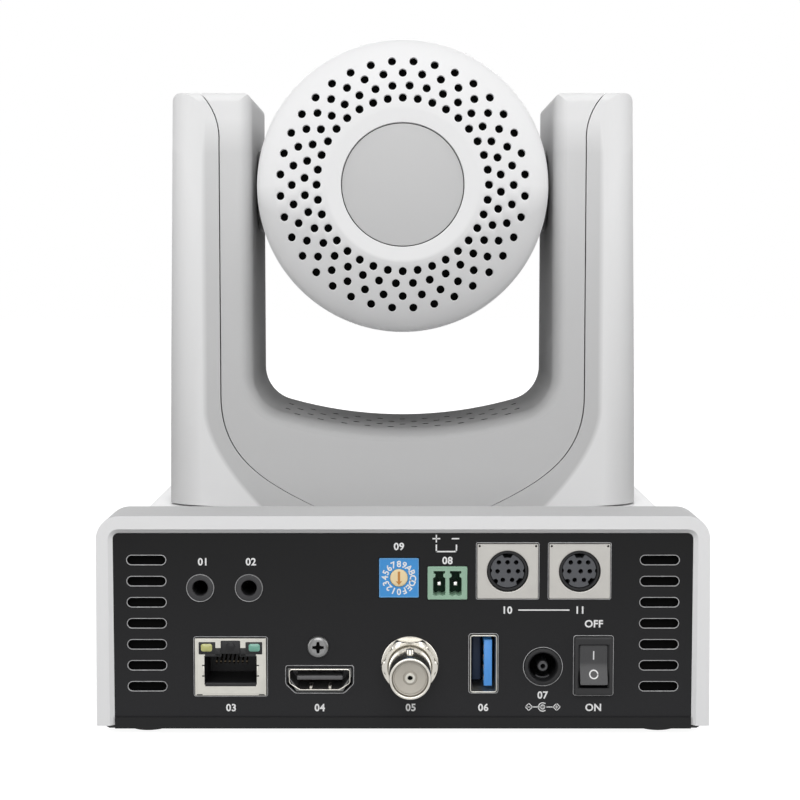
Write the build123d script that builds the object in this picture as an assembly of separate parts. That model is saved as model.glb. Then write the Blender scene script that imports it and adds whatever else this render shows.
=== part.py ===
from build123d import *
import os
from math import acos, atan, cos, degrees, pi, radians, sin, tan

# Pan, tilt and zoom camera. Millimetres, +Z up. At rest the lens looks along +Y and the connector
# panel faces -Y. The origin is on the pan axis, at the mouth of the tripod thread in the base plate.

# ---- base housing ----
base_width = 144.0
base_rear = 85.0              # pan axis to the rear rim
base_front = 69.0             # pan axis to the front face
plate_flange = 0.8            # base plate thickness under the cover's edge
plate_thickness = 2.7
bridge_top = 50.5             # top of the raised rear part
bridge_depth = 16.8
deck_top = 43.7               # top of the part that the yoke turns above
cover_wall = 2.3
cover_lean = 0.35             # how far each side leans in from bottom to top
cover_edge_radius = 5.5
front_corner_radius = 24.0
rim_width = 4.1               # light rim round the panel
rim_depth = 1.0
rim_corner_radius = 1.4
panel_thickness = 1.2
panel_fit = 0.1
foot_radius = 4.5
foot_height = 1.3             # below the base plate
foot_pocket = 0.8
rear_foot_x = base_width / 2 - 11.4
front_foot_x = base_width / 2 - 22.0
rear_foot_inset = 8.5
front_foot_inset = 17.0
boss_radius = 3.5
cover_screw_radius = 1.3
cover_screw_head = 2.8
cover_screw_length = 12.0
cover_screw_grip = 5.0        # length in the bosses of the yoke's covers
rear_boss_x = base_width / 2 - 9.0
front_boss_x = base_width / 2 - 17.0
rear_boss_inset = 23.0
front_boss_inset = 28.0
tripod_bore = 2.55            # tapping radius of a 1/4-20 thread
tripod_bush_radius = 6.0
tripod_flange_radius = 8.0
tripod_flange_thickness = 1.5
tripod_bush_height = 8.0
bracket_hole = 1.25
bracket_spacing_x = 60.0
bracket_spacing_y = 40.0
window_width = 30.0
window_height = 12.0
window_z = 23.0
window_corner = 3.0
window_thickness = 1.6
window_gap = 0.1              # round the window in its opening
window_lap = 1.5              # how far its flange reaches behind the wall
plate_gap = 0.1               # between the plate's raised part and the cover
clean_cut = 1.0               # how far a cutting shape runs past the surface it opens

# ---- connector panel, in columns and rows ----
vent_pitch = 5.0
vent_rows = 7
vent_width = 9.4
vent_height = 2.5
vent_x = base_width / 2 - 11.9
vent_top_z = 40.0
main_board_z = 6.2
control_board_z = 29.0
board_thickness = 1.6
board_half_width = base_width / 2 - 16.0
board_depth = 32.0
board_gap = 0.3               # behind the panel
spacer_radius = 2.5
spacer_inset = 3.2
spacer_inset_y = 5.0
lan_x, lan_z = -40.5, 14.7
lan_width, lan_height, lan_depth = 16.7, 13.6, 16.0
lan_wall = 0.5
lan_mouth_width, lan_mouth_height, lan_mouth_z = 12.3, 6.9, 13.9
lan_latch_width, lan_latch_height = 4.6, 3.4
lan_light_width, lan_light_height, lan_light_z = 3.2, 2.2, 19.4
lan_light_spread = 5.6
lan_contacts = 8
lan_contact_pitch = 1.02
lan_wire_drop = 2.2
lan_wire_width = 0.4
lan_wire_start = 2.5          # panel face to the tips of the wires
socket_back = 2.0             # solid block behind the mouth of the network jack
lan_proud = 0.4
video_x, video_z = -19.6, 11.65
video_width, video_height, video_depth = 14.9, 5.5, 11.0
video_wall = 0.45
video_tongue_width, video_tongue_height = 10.8, 1.0
video_proud = 0.3
video_slope = 0.36            # share of the height taken by the sloping lower corners
video_tongue_lift = 0.2
video_tongue_recess = 0.8
insert_back = 3.0             # solid block that holds a connector's tongue
panel_screw_x, panel_screw_z = -19.9, 19.5
panel_screw_head = 2.6
panel_screw_head_height = 1.3
panel_screw_shank = 1.4
panel_screw_length = 7.0
panel_screw_slot = 0.8        # width of the cross recess
panel_screw_cross = 3.0
panel_screw_recess = 0.9
coax_x, coax_z = 1.6, 15.3
coax_barrel_radius = 4.8
coax_bore = 4.1
coax_reach = 15.2             # front of the barrel to the panel
coax_bore_depth = 9.0
coax_body_half = 6.6
coax_body_depth = 9.0
coax_neck_radius = 4.95
coax_lug_radius = 0.95
coax_lug_height = 1.0
coax_lug_back = 5.4
coax_insulator_radius = 1.6
coax_pin_radius = 0.65
coax_washer_radius = 6.7
coax_washer_thickness = 0.7
coax_nut_flats = 11.8
coax_nut_thickness = 2.6
coax_neck_shows = 2.0         # neck in front of the nut
coax_insulator_recess = 1.0
usb_x, usb_z = 18.9, 15.45
usb_width, usb_height, usb_depth = 6.4, 13.7, 15.0
usb_wall = 0.45
usb_tongue_x = 20.0
usb_tongue_width, usb_tongue_height, usb_tongue_depth = 1.9, 11.0, 9.0
usb_proud = 0.6
inlet_x, inlet_z = 32.9, 14.7
inlet_radius = 4.4
inlet_bore = 3.15
inlet_pin_radius = 1.05
inlet_depth = 11.0
inlet_proud = 0.7
inlet_back = 1.5              # closed end behind the inlet's bore
inlet_body_lap = 0.4          # how far the body behind the panel is wider than the barrel
body_gap = 0.1                # panel to the bodies of the round sockets
switch_x, switch_z = 44.75, 14.95
switch_width, switch_height, switch_depth = 9.0, 13.9, 12.0
switch_mouth_height = 10.4
switch_edge = 0.4             # chamfer round the bezel
switch_corner = 0.6
switch_floor = 4.0            # solid part of the switch behind the rocker
switch_side_gap = 0.075       # each side of the rocker
switch_lap = 0.5              # how far the bezel laps the panel
switch_proud = 1.1            # how far it stands out
rocker_angle = 9.0            # each way from level
rocker_pivot_depth = 1.2
rocker_pivot_radius = 1.0
rocker_width = 6.4
rocker_pivot_reach = 0.5      # stub axle beyond each side of the rocker
rocker_height = 9.4
rocker_rise = 2.6             # pivot to the front edges of the rocker
rocker_valley = 1.6           # pivot to the valley between its two faces
rocker_heel = 1.4             # how far its back slopes in at top and bottom
din_x = (24.5, 41.35)
din_z = 37.4
din_width, din_height, din_depth = 14.3, 13.0, 12.5
din_socket_radius = 4.9
din_wall = 0.5
din_proud = 0.5
din_insert_recess = 0.4
din_groove = (0.4, 1.0, 5.0)  # from the socket's wall to its outer and inner side, and its depth
terminal_x, terminal_z = 10.4, 34.6
terminal_width, terminal_height, terminal_depth = 9.3, 7.8, 9.0
terminal_pitch = 3.81
terminal_wall = 0.8
terminal_pin = 1.0
terminal_proud = 0.4
terminal_back = 1.5
selector_x, selector_z = -0.95, 35.8
selector_size, selector_depth = 9.3, 6.0
selector_rotor_radius = 2.1
selector_proud = 0.2
selector_back = 1.5
selector_recess = 0.1
arrow_half_width = 0.9
arrow_half_shaft = 0.35
arrow_barbs = 0.5             # centre of the rotor to the barbs of its arrow
arrow_margin = 0.4            # arrow's ends to the rotor's edge
arrow_depth = 0.8
audio_x = (-47.5, -36.1)
audio_z = 33.4
audio_radius = 3.15
audio_bore = 1.8
audio_depth = 12.0
audio_proud = 0.3
audio_body_half = 3.6
audio_body_top = 3.4
audio_shoulder = 0.2          # barrel behind the panel
cutout_gap = 0.12             # between a connector and its hole in the panel

# ---- pan mechanism ----
gear_module = 0.8
pan_gear_teeth = 90
pan_pinion_teeth = 15
tilt_gear_teeth = 48
tilt_pinion_teeth = 12
pressure_angle = 20.0
tooth_share = 0.44            # tooth thickness over pitch; the rest above a half is backlash
gear_face = 5.0
pan_gear_z = 22.0
spindle_radius = 9.95
spindle_bore = 6.5
spindle_flange_radius = 16.0
spindle_flange = 2.0
running_clearance = 0.05
bearing_radius = 16.0
bearing_height = 7.0
bearing_flange = 1.5          # width and thickness of its flange
pan_gear_hole = 6.5
pan_gear_hole_circle = 22.5
pan_gear_holes = 5
pan_hub = 3.0                 # wall of the gear's hub
pan_gear_tooth_at = 92        # degrees; puts a gap opposite a tooth of the pinion
pan_pinion_tooth_at = 270
tilt_gear_tooth_at = 270
chassis_z = 30.0
chassis_plate = 3.0
chassis_half_width = base_width / 2 - 24.0
chassis_half_depth = 34.0
chassis_leg_radius = 3.5
chassis_corner = 5.0
pan_motor_radius = 17.5
pan_motor_height = 17.5
pan_shaft_radius = 2.5
pan_shaft_grip = 6.0
axial_gap = 0.3

# ---- yoke ----
round_pull = 0.5523           # makes a cubic curve follow a quarter of an ellipse
yoke_bottom = 44.2
yoke_top = 154.0
yoke_half_depth = 25.0
yoke_foot_half_width = 63.4
yoke_top_half_width = 61.7
yoke_wall = 2.2
yoke_levels = 12              # steps between the level outlines that its skin follows
fork_half_width = 39.8        # pan plane to the arms' inner walls
saddle_z = 65.3
saddle_radius = 118.6
saddle_corner = 10.0
fork_edge_radius = 3.5
arm_top_radius = 2.5
crease_x = 53.2               # where an arm's flat back starts to round off
crease_foot_x = 30.0
crease_depth = 11.8
crease_foot_depth = 12.4
blend_top = 80.0              # height at which the foot's flare has run out
seam_x = 48.3
seam_foot_x = 20.0
seam_straight_low = 74.0
seam_straight_high = 141.0
seam_top_x = 54.6
seam_bow = 1.5                # how far the seam bows out on its way to the top
seam_knee_drop = 17.0         # pulls that shape the seam's bend in to the foot
seam_knee_low = 23.5
seam_knee_in = 12.0
seam_overrun = 1.4
seam_gap = 0.3
saddle_hole_radius = 1.0
saddle_hole_pitch = 6.3
saddle_hole_rows = (5.0, -3.0, -11.0, -19.0)
saddle_holes_long_row = 11
frame_thickness = 2.0
frame_half_depth = 14.0
frame_gap = 0.4
frame_top = 142.0
cover_boss_heights = (62.0, 84.0)
frame_screw_circle = 12.5
frame_screw_radius = 1.4
frame_screw_head = 2.6
frame_screw_head_height = 1.8
screw_end = 1.4               # how far the low cover screws stand out inside the frame
wall_clearance = 0.2          # screws and bearings to the arms' inner walls

# ---- tilt mechanism ----
tilt_z = 129.2
trunnion_radius = 5.0
trunnion_bore = 3.0
trunnion_boss_radius = 11.0
trunnion_hole_gap = 1.5       # round the stub shafts in the arms' walls
trunnion_boss_clearance = 0.2  # round the boss in the head's shell
trunnion_boss_gap = 0.4       # boss to the arm's wall
trunnion_inner = 33.5
tilt_bearing_radius = 8.5
tilt_bearing_width = 3.0
tilt_gear_face = 4.0
tilt_motor_radius = 12.5
tilt_motor_length = 8.6
tilt_shaft_radius = 1.5
motor_ear = 1.0
motor_post_y = 15.0
motor_post_radius = 2.5
sensor_post_y = 8.0
sensor_post_z = 12.5
sensor_post_radius = 2.0
sensor_board_thickness = 1.2
sensor_board_gap = 3.0        # further out than the tilt gear's inner face
sensor_board_half_height = 16.0
sensor_board_inset = 2.0      # narrower than the frame at front and back
motor_back = 2.0              # closed end of the tilt motor behind its shaft

# ---- head ----
head_radius = 37.9
dome_start = 30.5             # tilt axis back to the rim of the domed rear
head_rear = 40.5              # tilt axis back to the flat ring round the disc
flat_ring_radius = 19.5
rear_disc_radius = 15.5
rear_disc_recess = 0.3
rear_disc_thickness = 1.5
rear_disc_groove = 0.3
head_seam_y = -13.0
head_wall = 2.2
vent_ring_radii = (22.0, 25.15, 28.4, 31.5)
vent_ring_turns = (0.0, 4.0, 0.0, 5.0)
vent_holes_in_ring = 36
vent_hole_radius = 1.05
head_front = 80.0
head_taper_y = 20.0
head_front_radius = 33.0
head_front_edge = 6.0
lens_window_radius = 25.5
lens_ring_lap = 1.3
lens_ring_width = 3.0
lens_ring_recess = 0.6
lens_ring_depth = 6.0
lens_ring_gap = 0.1           # inside the window's rim
glass_seat = 0.3              # glass behind the ring's inner edge
glass_thickness = 2.0
glass_recess = 3.2
barrel_radius = 22.0
barrel_wall = 1.6
barrel_rear = 14.0
barrel_front = 70.0
barrel_grip = 3.0             # wall of the chassis ring round the barrel
barrel_rear_hole = 8.0
front_lens_thickness = 7.0
front_lens_bulge = 4.0
guide_rod_radius = 1.0
guide_rod_offset = 17.0
carriage_radius = 19.4
carriage_bore = 12.0
zoom_rest, zoom_length = 24.0, 8.0
focus_rest, focus_length = -6.0, 6.0
group_thickness = 4.0
sensor_size = 36.0
sensor_gap = 0.3
sink_inset = 2.0              # smaller than the sensor board on each side
sink_base = 2.0
sink_fin_length = 9.0
sink_fin_thickness = 1.4
sink_fins = 7
head_chassis_half_height = 12.0
head_chassis_half_depth = 9.0


def block(x0, x1, y0, y1, z0, z1):
    """Box between two corners."""
    return Pos((x0 + x1) / 2, (y0 + y1) / 2, (z0 + z1) / 2) * Box(x1 - x0, y1 - y0, z1 - z0)


def rod_x(radius, x0, x1, y, z):
    return Pos((x0 + x1) / 2, y, z) * Rot(0, 90, 0) * Cylinder(radius, abs(x1 - x0))


def rod_y(radius, y0, y1, x, z):
    return Pos(x, (y0 + y1) / 2, z) * Rot(90, 0, 0) * Cylinder(radius, abs(y1 - y0))


def rod_z(radius, z0, z1, x=0.0, y=0.0):
    return Pos(x, y, (z0 + z1) / 2) * Cylinder(radius, z1 - z0)


def prism_y(sketch, y0, y1):
    """A sketch drawn in X and Z, made solid between two depths."""
    return extrude(Plane(origin=(0, y1, 0), x_dir=(1, 0, 0), z_dir=(0, -1, 0)) * sketch, y1 - y0)


def prism_x(sketch, x0, x1):
    """A sketch drawn in Y and Z, made solid between two widths."""
    return extrude(Plane(origin=(x0, 0, 0), x_dir=(0, 1, 0), z_dir=(1, 0, 0)) * sketch, x1 - x0)


def spun_about_y(profile, z):
    """A profile of radius and depth, turned about an axis along Y at height z."""
    return Pos(0, 0, z) * revolve(profile, Axis.Y)


def spur_gear(teeth, bore, face, tooth_at):
    """External gear about Z from z = 0 up, with one tooth centred at the angle tooth_at (degrees)."""
    pitch_radius = gear_module * teeth / 2
    base_radius = pitch_radius * cos(radians(pressure_angle))
    half_tooth = pi * gear_module * tooth_share / 2 / pitch_radius

    def involute(radius):
        slope = acos(min(1.0, base_radius / radius))
        return tan(slope) - slope

    def half_angle(radius):
        return half_tooth + involute(pitch_radius) - involute(radius)

    root, tip = pitch_radius - 1.2 * gear_module, pitch_radius + gear_module
    points = []
    for tooth in range(teeth):
        centre = radians(tooth_at) + 2 * pi * tooth / teeth
        for radius, side in ((root, -1), (tip, -1), (tip, 1), (root, 1)):
            angle = centre + side * half_angle(radius)
            points.append((radius * cos(angle), radius * sin(angle)))
    outline = make_face(Polyline(*points, close=True))
    return extrude(outline - Circle(bore), face)


# ---- base ----
panel_back = -base_rear + rim_depth + panel_thickness
rim_top = bridge_top - rim_width
panel_face = -base_rear + rim_depth
plate_half_width = base_width / 2 - rim_width
boss_places = [(side * x, y) for side in (-1, 1)
               for x, y in ((rear_boss_x, -base_rear + rear_boss_inset),
                            (front_boss_x, base_front - front_boss_inset))]
foot_places = [(side * x, y) for side in (-1, 1)
               for x, y in ((rear_foot_x, -base_rear + rear_foot_inset),
                            (front_foot_x, base_front - front_foot_inset))]


def base_plan(inset, rear):
    """Outline of the base seen from above, with rounded front corners."""
    half, front = base_width / 2 - inset, base_front - inset
    outline = Pos(0, (front - rear) / 2) * Rectangle(2 * half, front + rear)
    return fillet(outline.vertices().group_by(Axis.Y)[-1], front_corner_radius - inset)


def leaning_block(inset, rear, top):
    """Base outline raised to a height, its sides leaning in and its upper edges rounded."""
    bottom = plate_flange
    lean = degrees(atan(cover_lean / (bridge_top - plate_flange)))
    solid = Pos(0, 0, bottom) * extrude(base_plan(inset, rear), top - bottom, taper=lean)
    return fillet(solid.edges().group_by(Axis.Z)[-1], cover_edge_radius - inset)


def bridge_block(inset, rear, front):
    """Raised rear part: a slab with rounded upper corners across the whole width."""
    top, bottom = bridge_top - inset, plate_flange
    low_half, high_half = base_width / 2 - inset, base_width / 2 - cover_lean - inset
    outline = make_face(Polyline((-low_half, bottom), (low_half, bottom), (high_half, top),
                                 (-high_half, top), close=True))
    outline = fillet(outline.vertices().group_by(Axis.Y)[-1], cover_edge_radius - inset)
    return prism_y(outline, rear, front)


def base_cover():
    bridge_front = -base_rear + bridge_depth
    outer = leaning_block(0, base_rear - bridge_depth / 2, deck_top)
    outer += bridge_block(0, -base_rear, bridge_front)
    inner = leaning_block(cover_wall, base_rear - rim_depth, deck_top - cover_wall)
    inner += bridge_block(cover_wall, panel_face, bridge_front - cover_wall)
    shell = outer - inner
    half = plate_half_width
    mouth = make_face(Polyline((-half, -plate_thickness), (half, -plate_thickness),
                               (half, rim_top), (-half, rim_top), close=True))
    mouth = fillet(mouth.vertices().group_by(Axis.Y)[-1], rim_corner_radius)
    mouth_plane = Plane(origin=(0, panel_face, 0), x_dir=(1, 0, 0), z_dir=(0, -1, 0))
    shell -= extrude(mouth_plane * mouth, rim_depth, taper=-45)
    shell -= rod_z(spindle_radius + 1.0, chassis_z, bridge_top)
    window = Pos(0, window_z) * RectangleRounded(window_width, window_height, window_corner)
    shell -= prism_y(window, base_front - 2 * cover_wall, base_front + cover_wall)
    for x, y in boss_places:
        shell += rod_z(boss_radius, plate_thickness, deck_top - cover_wall / 2, x, y)
        shell -= rod_z(cover_screw_radius, 0, cover_screw_length + 1, x, y)
    return shell


def base_plate():
    low = extrude(base_plan(rim_width / 2, base_rear - rim_depth / 2), plate_flange)
    low = chamfer(low.edges().group_by(Axis.Z)[0], plate_flange * 0.9)
    raised = extrude(base_plan(rim_width + plate_gap, base_rear - rim_depth / 2), plate_thickness)
    plate = low + raised
    plate -= rod_z(tripod_bush_radius, 0, plate_thickness)
    for x, y in boss_places:
        plate -= rod_z(cover_screw_radius, 0, plate_thickness, x, y)
        plate -= rod_z(cover_screw_head, 0, plate_flange, x, y)
    for x, y in foot_places:
        plate -= rod_z(foot_radius, 0, foot_pocket, x, y)
    for place in GridLocations(bracket_spacing_x, bracket_spacing_y, 2, 2):
        plate -= rod_z(bracket_hole, 0, plate_thickness, place.position.X, place.position.Y)
    return plate


def rubber_feet():
    return [rod_z(foot_radius, -foot_height, foot_pocket, x, y) for x, y in foot_places]


def base_screws():
    screws = []
    for x, y in boss_places:
        shank = rod_z(cover_screw_radius - running_clearance, plate_flange, cover_screw_length, x, y)
        head = rod_z(cover_screw_head - 0.1, 0.1, plate_flange, x, y)
        screws.append(head + shank)
    return screws


def tripod_bush():
    bush = rod_z(tripod_bush_radius, 0, tripod_bush_height)
    bush += rod_z(tripod_flange_radius, plate_thickness, plate_thickness + tripod_flange_thickness)
    return bush - rod_z(tripod_bore, 0, tripod_bush_height)


def ir_window():
    """Dark front window of the remote receiver, seated in its opening against a rear flange."""
    gap, lap = 2 * window_gap, 2 * window_lap
    window = Pos(0, window_z) * RectangleRounded(window_width - gap, window_height - gap, window_corner)
    flange = Pos(0, window_z) * RectangleRounded(window_width + lap, window_height + lap, window_corner)
    inner = base_front - cover_wall - cover_lean
    return prism_y(window, inner, base_front - gap) + prism_y(flange, inner - window_thickness, inner)


def at_panel(sketch, x, z):
    return Pos(x, z) * sketch


def rear_panel():
    half = base_width / 2 - cover_wall - cover_lean - panel_fit
    top = bridge_top - cover_wall - panel_fit
    sheet = make_face(Polyline((-half, plate_thickness), (half, plate_thickness), (half, top),
                               (-half, top), close=True))
    sheet = fillet(sheet.vertices().group_by(Axis.Y)[-1], cover_edge_radius - cover_wall)
    gap = 2 * cutout_gap
    for row in range(vent_rows):
        for side in (-1, 1):
            sheet -= at_panel(SlotOverall(vent_width, vent_height), side * vent_x,
                              vent_top_z - row * vent_pitch)
    sheet -= at_panel(Rectangle(lan_width + gap, lan_height + gap), lan_x, lan_z)
    sheet -= at_panel(Rectangle(video_width + gap, video_height + gap), video_x, video_z)
    sheet -= at_panel(Circle(panel_screw_shank + cutout_gap), panel_screw_x, panel_screw_z)
    sheet -= at_panel(Circle(coax_neck_radius + cutout_gap), coax_x, coax_z)
    sheet -= at_panel(Rectangle(usb_width + gap, usb_height + gap), usb_x, usb_z)
    sheet -= at_panel(Circle(inlet_radius + cutout_gap), inlet_x, inlet_z)
    sheet -= at_panel(Rectangle(switch_width - 2 * switch_lap + gap,
                                switch_height - 2 * switch_lap + gap), switch_x, switch_z)
    for x in din_x:
        sheet -= at_panel(Rectangle(din_width + gap, din_height + gap), x, din_z)
    sheet -= at_panel(Rectangle(terminal_width + gap, terminal_height + gap), terminal_x, terminal_z)
    sheet -= at_panel(Rectangle(selector_size + gap, selector_size + gap), selector_x, selector_z)
    for x in audio_x:
        sheet -= at_panel(Circle(audio_radius + cutout_gap), x, audio_z)
    return prism_y(sheet, panel_face, panel_back)


board_front = panel_back + board_gap
spacer_places = [(side * (board_half_width - spacer_inset), y) for side in (-1, 1)
                 for y in (board_front + spacer_inset_y, board_front + board_depth - spacer_inset_y)]


def circuit_boards():
    """Lower board of the lower connector row and upper board of the upper row."""
    return [block(-board_half_width, board_half_width, board_front, board_front + board_depth,
                  z, z + board_thickness) for z in (main_board_z, control_board_z)]


def board_spacers():
    spacers = [rod_z(spacer_radius, plate_thickness, main_board_z, x, y) for x, y in spacer_places]
    spacers += [rod_z(spacer_radius, main_board_z + board_thickness, control_board_z, x, y)
                for x, y in spacer_places]
    return spacers


def lan_inside():
    return at_panel(Rectangle(lan_width - 2 * lan_wall, lan_height - 2 * lan_wall), lan_x, lan_z)


def lan_shield():
    front, back = panel_face - lan_proud, panel_face + lan_depth
    outer = prism_y(at_panel(Rectangle(lan_width, lan_height), lan_x, lan_z), front, back)
    inner = prism_y(lan_inside(), front + lan_wall, back - lan_wall)
    return outer - inner - prism_y(lan_mouth(), front - clean_cut, front + lan_wall) \
        - prism_y(lan_light_outline(), front - clean_cut, front + lan_wall)


def lan_mouth():
    """Stepped mouth of the network jack: the plug's body and the latch above it."""
    mouth = at_panel(Rectangle(lan_mouth_width, lan_mouth_height), lan_x, lan_mouth_z)
    latch_z = lan_mouth_z + lan_mouth_height / 2 + lan_latch_height / 2
    return mouth + at_panel(Rectangle(lan_latch_width, lan_latch_height + 0.1), lan_x, latch_z)


def lan_light_outline():
    light = Rectangle(lan_light_width, lan_light_height)
    return Sketch() + [at_panel(light, lan_x + side * lan_light_spread, lan_light_z) for side in (-1, 1)]


def lan_insert():
    front = panel_face - lan_proud + lan_wall
    back = panel_face + lan_depth - lan_wall
    body = prism_y(lan_inside(), front, back)
    return body - prism_y(lan_mouth(), front - clean_cut, back - socket_back) \
        - prism_y(lan_light_outline(), front - clean_cut, front + lan_light_height)


def lan_lights():
    front = panel_face - lan_proud
    light = Rectangle(lan_light_width, lan_light_height)
    return [prism_y(at_panel(light, lan_x + side * lan_light_spread, lan_light_z), front,
                    front + lan_wall + lan_light_height) for side in (-1, 1)]


def lan_wires():
    """Sprung contact wires, leaning down from the roof of the mouth."""
    top = lan_mouth_z + lan_mouth_height / 2
    front, back = panel_face + lan_wire_start, panel_face + lan_depth - lan_wall - socket_back
    width = lan_wire_width
    low = top - lan_wire_drop
    profile = make_face(Polyline((back, top), (back, top - width), (front + 2.5 * width, low),
                                 (front, low + width / 2), (front + width / 2, low + 1.5 * width),
                                 (back - 5 * width, top), close=True))
    first = lan_x - lan_contact_pitch * (lan_contacts - 1) / 2
    middles = [first + i * lan_contact_pitch for i in range(lan_contacts)]
    return [prism_x(profile, middle - width / 2, middle + width / 2) for middle in middles]


def video_outline(shrink):
    """Wide mouth with two sloping lower corners."""
    half, top = video_width / 2 - shrink, video_height / 2 - shrink
    slope = video_height * video_slope
    outline = make_face(Polyline((-half, top), (half, top), (half, top - slope), (half - slope, -top),
                                 (-half + slope, -top), (-half, top - slope), close=True))
    return at_panel(outline, video_x, video_z)


def video_shield():
    front, back = panel_face - video_proud, panel_face + video_depth
    shell = prism_y(video_outline(0), front, back)
    return shell - prism_y(video_outline(video_wall), front - clean_cut, back - video_wall)


def video_insert():
    back = panel_face + video_depth - video_wall
    body = prism_y(video_outline(video_wall), back - insert_back, back)
    tongue = at_panel(Rectangle(video_tongue_width, video_tongue_height), video_x,
                      video_z + video_tongue_lift)
    return body + prism_y(tongue, panel_face + video_tongue_recess, back - insert_back)


def panel_screw():
    head = rod_y(panel_screw_head, panel_face - panel_screw_head_height, panel_face, panel_screw_x,
                 panel_screw_z)
    head = fillet(head.edges().group_by(Axis.Y)[0], panel_screw_head_height * 0.6)
    head += rod_y(panel_screw_shank, panel_face, panel_face + panel_screw_length, panel_screw_x,
                  panel_screw_z)
    slot = Rectangle(panel_screw_cross, panel_screw_slot)
    recess = slot + Rot(0, 0, 90) * slot
    front = panel_face - panel_screw_head_height
    return head - prism_y(at_panel(recess, panel_screw_x, panel_screw_z), front - clean_cut,
                          front + panel_screw_recess)


def coax_body():
    front = panel_face - coax_reach
    body = rod_y(coax_barrel_radius, front, panel_face, coax_x, coax_z)
    body += rod_y(coax_neck_radius, panel_face - coax_nut_thickness - coax_neck_shows, panel_back,
                  coax_x, coax_z)
    half = coax_body_half
    body += block(coax_x - half, coax_x + half, panel_back, panel_back + coax_body_depth,
                  coax_z - half, coax_z + half)
    lug_y = front + coax_lug_back
    body += rod_z(coax_lug_radius, coax_z - coax_barrel_radius - coax_lug_height,
                  coax_z + coax_barrel_radius + coax_lug_height, coax_x, lug_y)
    return body - rod_y(coax_bore, front, front + coax_bore_depth, coax_x, coax_z)


def coax_nut():
    washer_front = panel_face - coax_washer_thickness
    nut = at_panel(RegularPolygon(coax_nut_flats / 2, 6, major_radius=False, rotation=0), coax_x, coax_z)
    solid = prism_y(nut, washer_front - coax_nut_thickness, washer_front)
    solid += rod_y(coax_washer_radius, washer_front, panel_face, coax_x, coax_z)
    return solid - rod_y(coax_neck_radius + running_clearance, panel_face - coax_reach, panel_face,
                         coax_x, coax_z)


def coax_insulator():
    front = panel_face - coax_reach
    seat = front + coax_bore_depth
    body = rod_y(coax_insulator_radius, front + coax_insulator_recess, seat, coax_x, coax_z)
    return body - rod_y(coax_pin_radius, front, seat - 1, coax_x, coax_z)


def usb_shield():
    front, back = panel_face - usb_proud, panel_face + usb_depth
    outer = prism_y(at_panel(Rectangle(usb_width, usb_height), usb_x, usb_z), front, back)
    inner = at_panel(Rectangle(usb_width - 2 * usb_wall, usb_height - 2 * usb_wall), usb_x, usb_z)
    return outer - prism_y(inner, front - clean_cut, back - usb_wall)


def usb_insert():
    back = panel_face + usb_depth - usb_wall
    inner = at_panel(Rectangle(usb_width - 2 * usb_wall, usb_height - 2 * usb_wall), usb_x, usb_z)
    body = prism_y(inner, back - insert_back, back)
    tongue = at_panel(Rectangle(usb_tongue_width, usb_tongue_height), usb_tongue_x, usb_z)
    return body + prism_y(tongue, back - insert_back - usb_tongue_depth, back - insert_back)


def dc_inlet():
    front, back = panel_face - inlet_proud, panel_face + inlet_depth
    body = rod_y(inlet_radius, front, panel_back + 1, inlet_x, inlet_z)
    half = inlet_radius + inlet_body_lap
    body += block(inlet_x - half, inlet_x + half, panel_back + body_gap, back,
                  main_board_z + board_thickness, inlet_z + half)
    return body - rod_y(inlet_bore, front - clean_cut, back - inlet_back, inlet_x, inlet_z)


def inlet_pin():
    back = panel_face + inlet_depth - inlet_back
    return rod_y(inlet_pin_radius, panel_face + 0.5, back, inlet_x, inlet_z)


def switch_frame():
    front = panel_face - switch_proud
    plate = RectangleRounded(switch_width, switch_height, switch_corner)
    bezel = prism_y(at_panel(plate, switch_x, switch_z), front, panel_face)
    bezel = chamfer(bezel.edges().group_by(Axis.Y)[0], switch_edge)
    body = at_panel(Rectangle(switch_width - 2 * switch_lap, switch_height - 2 * switch_lap),
                    switch_x, switch_z)
    frame = bezel + prism_y(body, panel_face, panel_face + switch_depth)
    mouth = Rectangle(rocker_width + 2 * switch_side_gap, switch_mouth_height)
    frame -= prism_y(at_panel(mouth, switch_x, switch_z), front - clean_cut,
                     panel_face + switch_depth - switch_floor)
    pivot_y = panel_face + rocker_pivot_depth
    reach = rocker_width / 2 + rocker_pivot_reach + 0.1
    return frame - rod_x(rocker_pivot_radius + running_clearance, switch_x - reach, switch_x + reach,
                         pivot_y, switch_z)


def switch_rocker():
    """Rocker with two flat faces meeting in a shallow valley; at rest its lower half stands out."""
    half = rocker_height / 2
    rise, valley, heel = rocker_rise, rocker_valley, half - rocker_heel
    profile = make_face(Polyline((-rise, half), (-valley, 0), (-rise, -half), (valley, -heel),
                                 (rise, 0), (valley, heel), close=True))
    rocker = prism_x(profile, -rocker_width / 2, rocker_width / 2)
    rocker += rod_x(rocker_pivot_radius, -rocker_width / 2 - rocker_pivot_reach,
                    rocker_width / 2 + rocker_pivot_reach, 0, 0)
    return Pos(switch_x, panel_face + rocker_pivot_depth, switch_z) * Rot(-rocker_angle, 0, 0) * rocker


def din_shields():
    front, back = panel_face - din_proud, panel_face + din_depth
    shields = []
    for x in din_x:
        body = prism_y(at_panel(Rectangle(din_width, din_height), x, din_z), front, back)
        body -= rod_y(din_socket_radius, front - clean_cut, back - din_wall, x, din_z)
        shields.append(body)
    return shields


def din_inserts():
    back = panel_face + din_depth - din_wall
    inserts = []
    for x in din_x:
        body = rod_y(din_socket_radius, panel_face + din_insert_recess, back, x, din_z)
        outer, inner, depth = din_groove
        ring = Circle(din_socket_radius - outer) - Circle(din_socket_radius - inner)
        body -= prism_y(at_panel(ring, x, din_z), panel_face, panel_face + depth)
        inserts.append(body)
    return inserts


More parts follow.
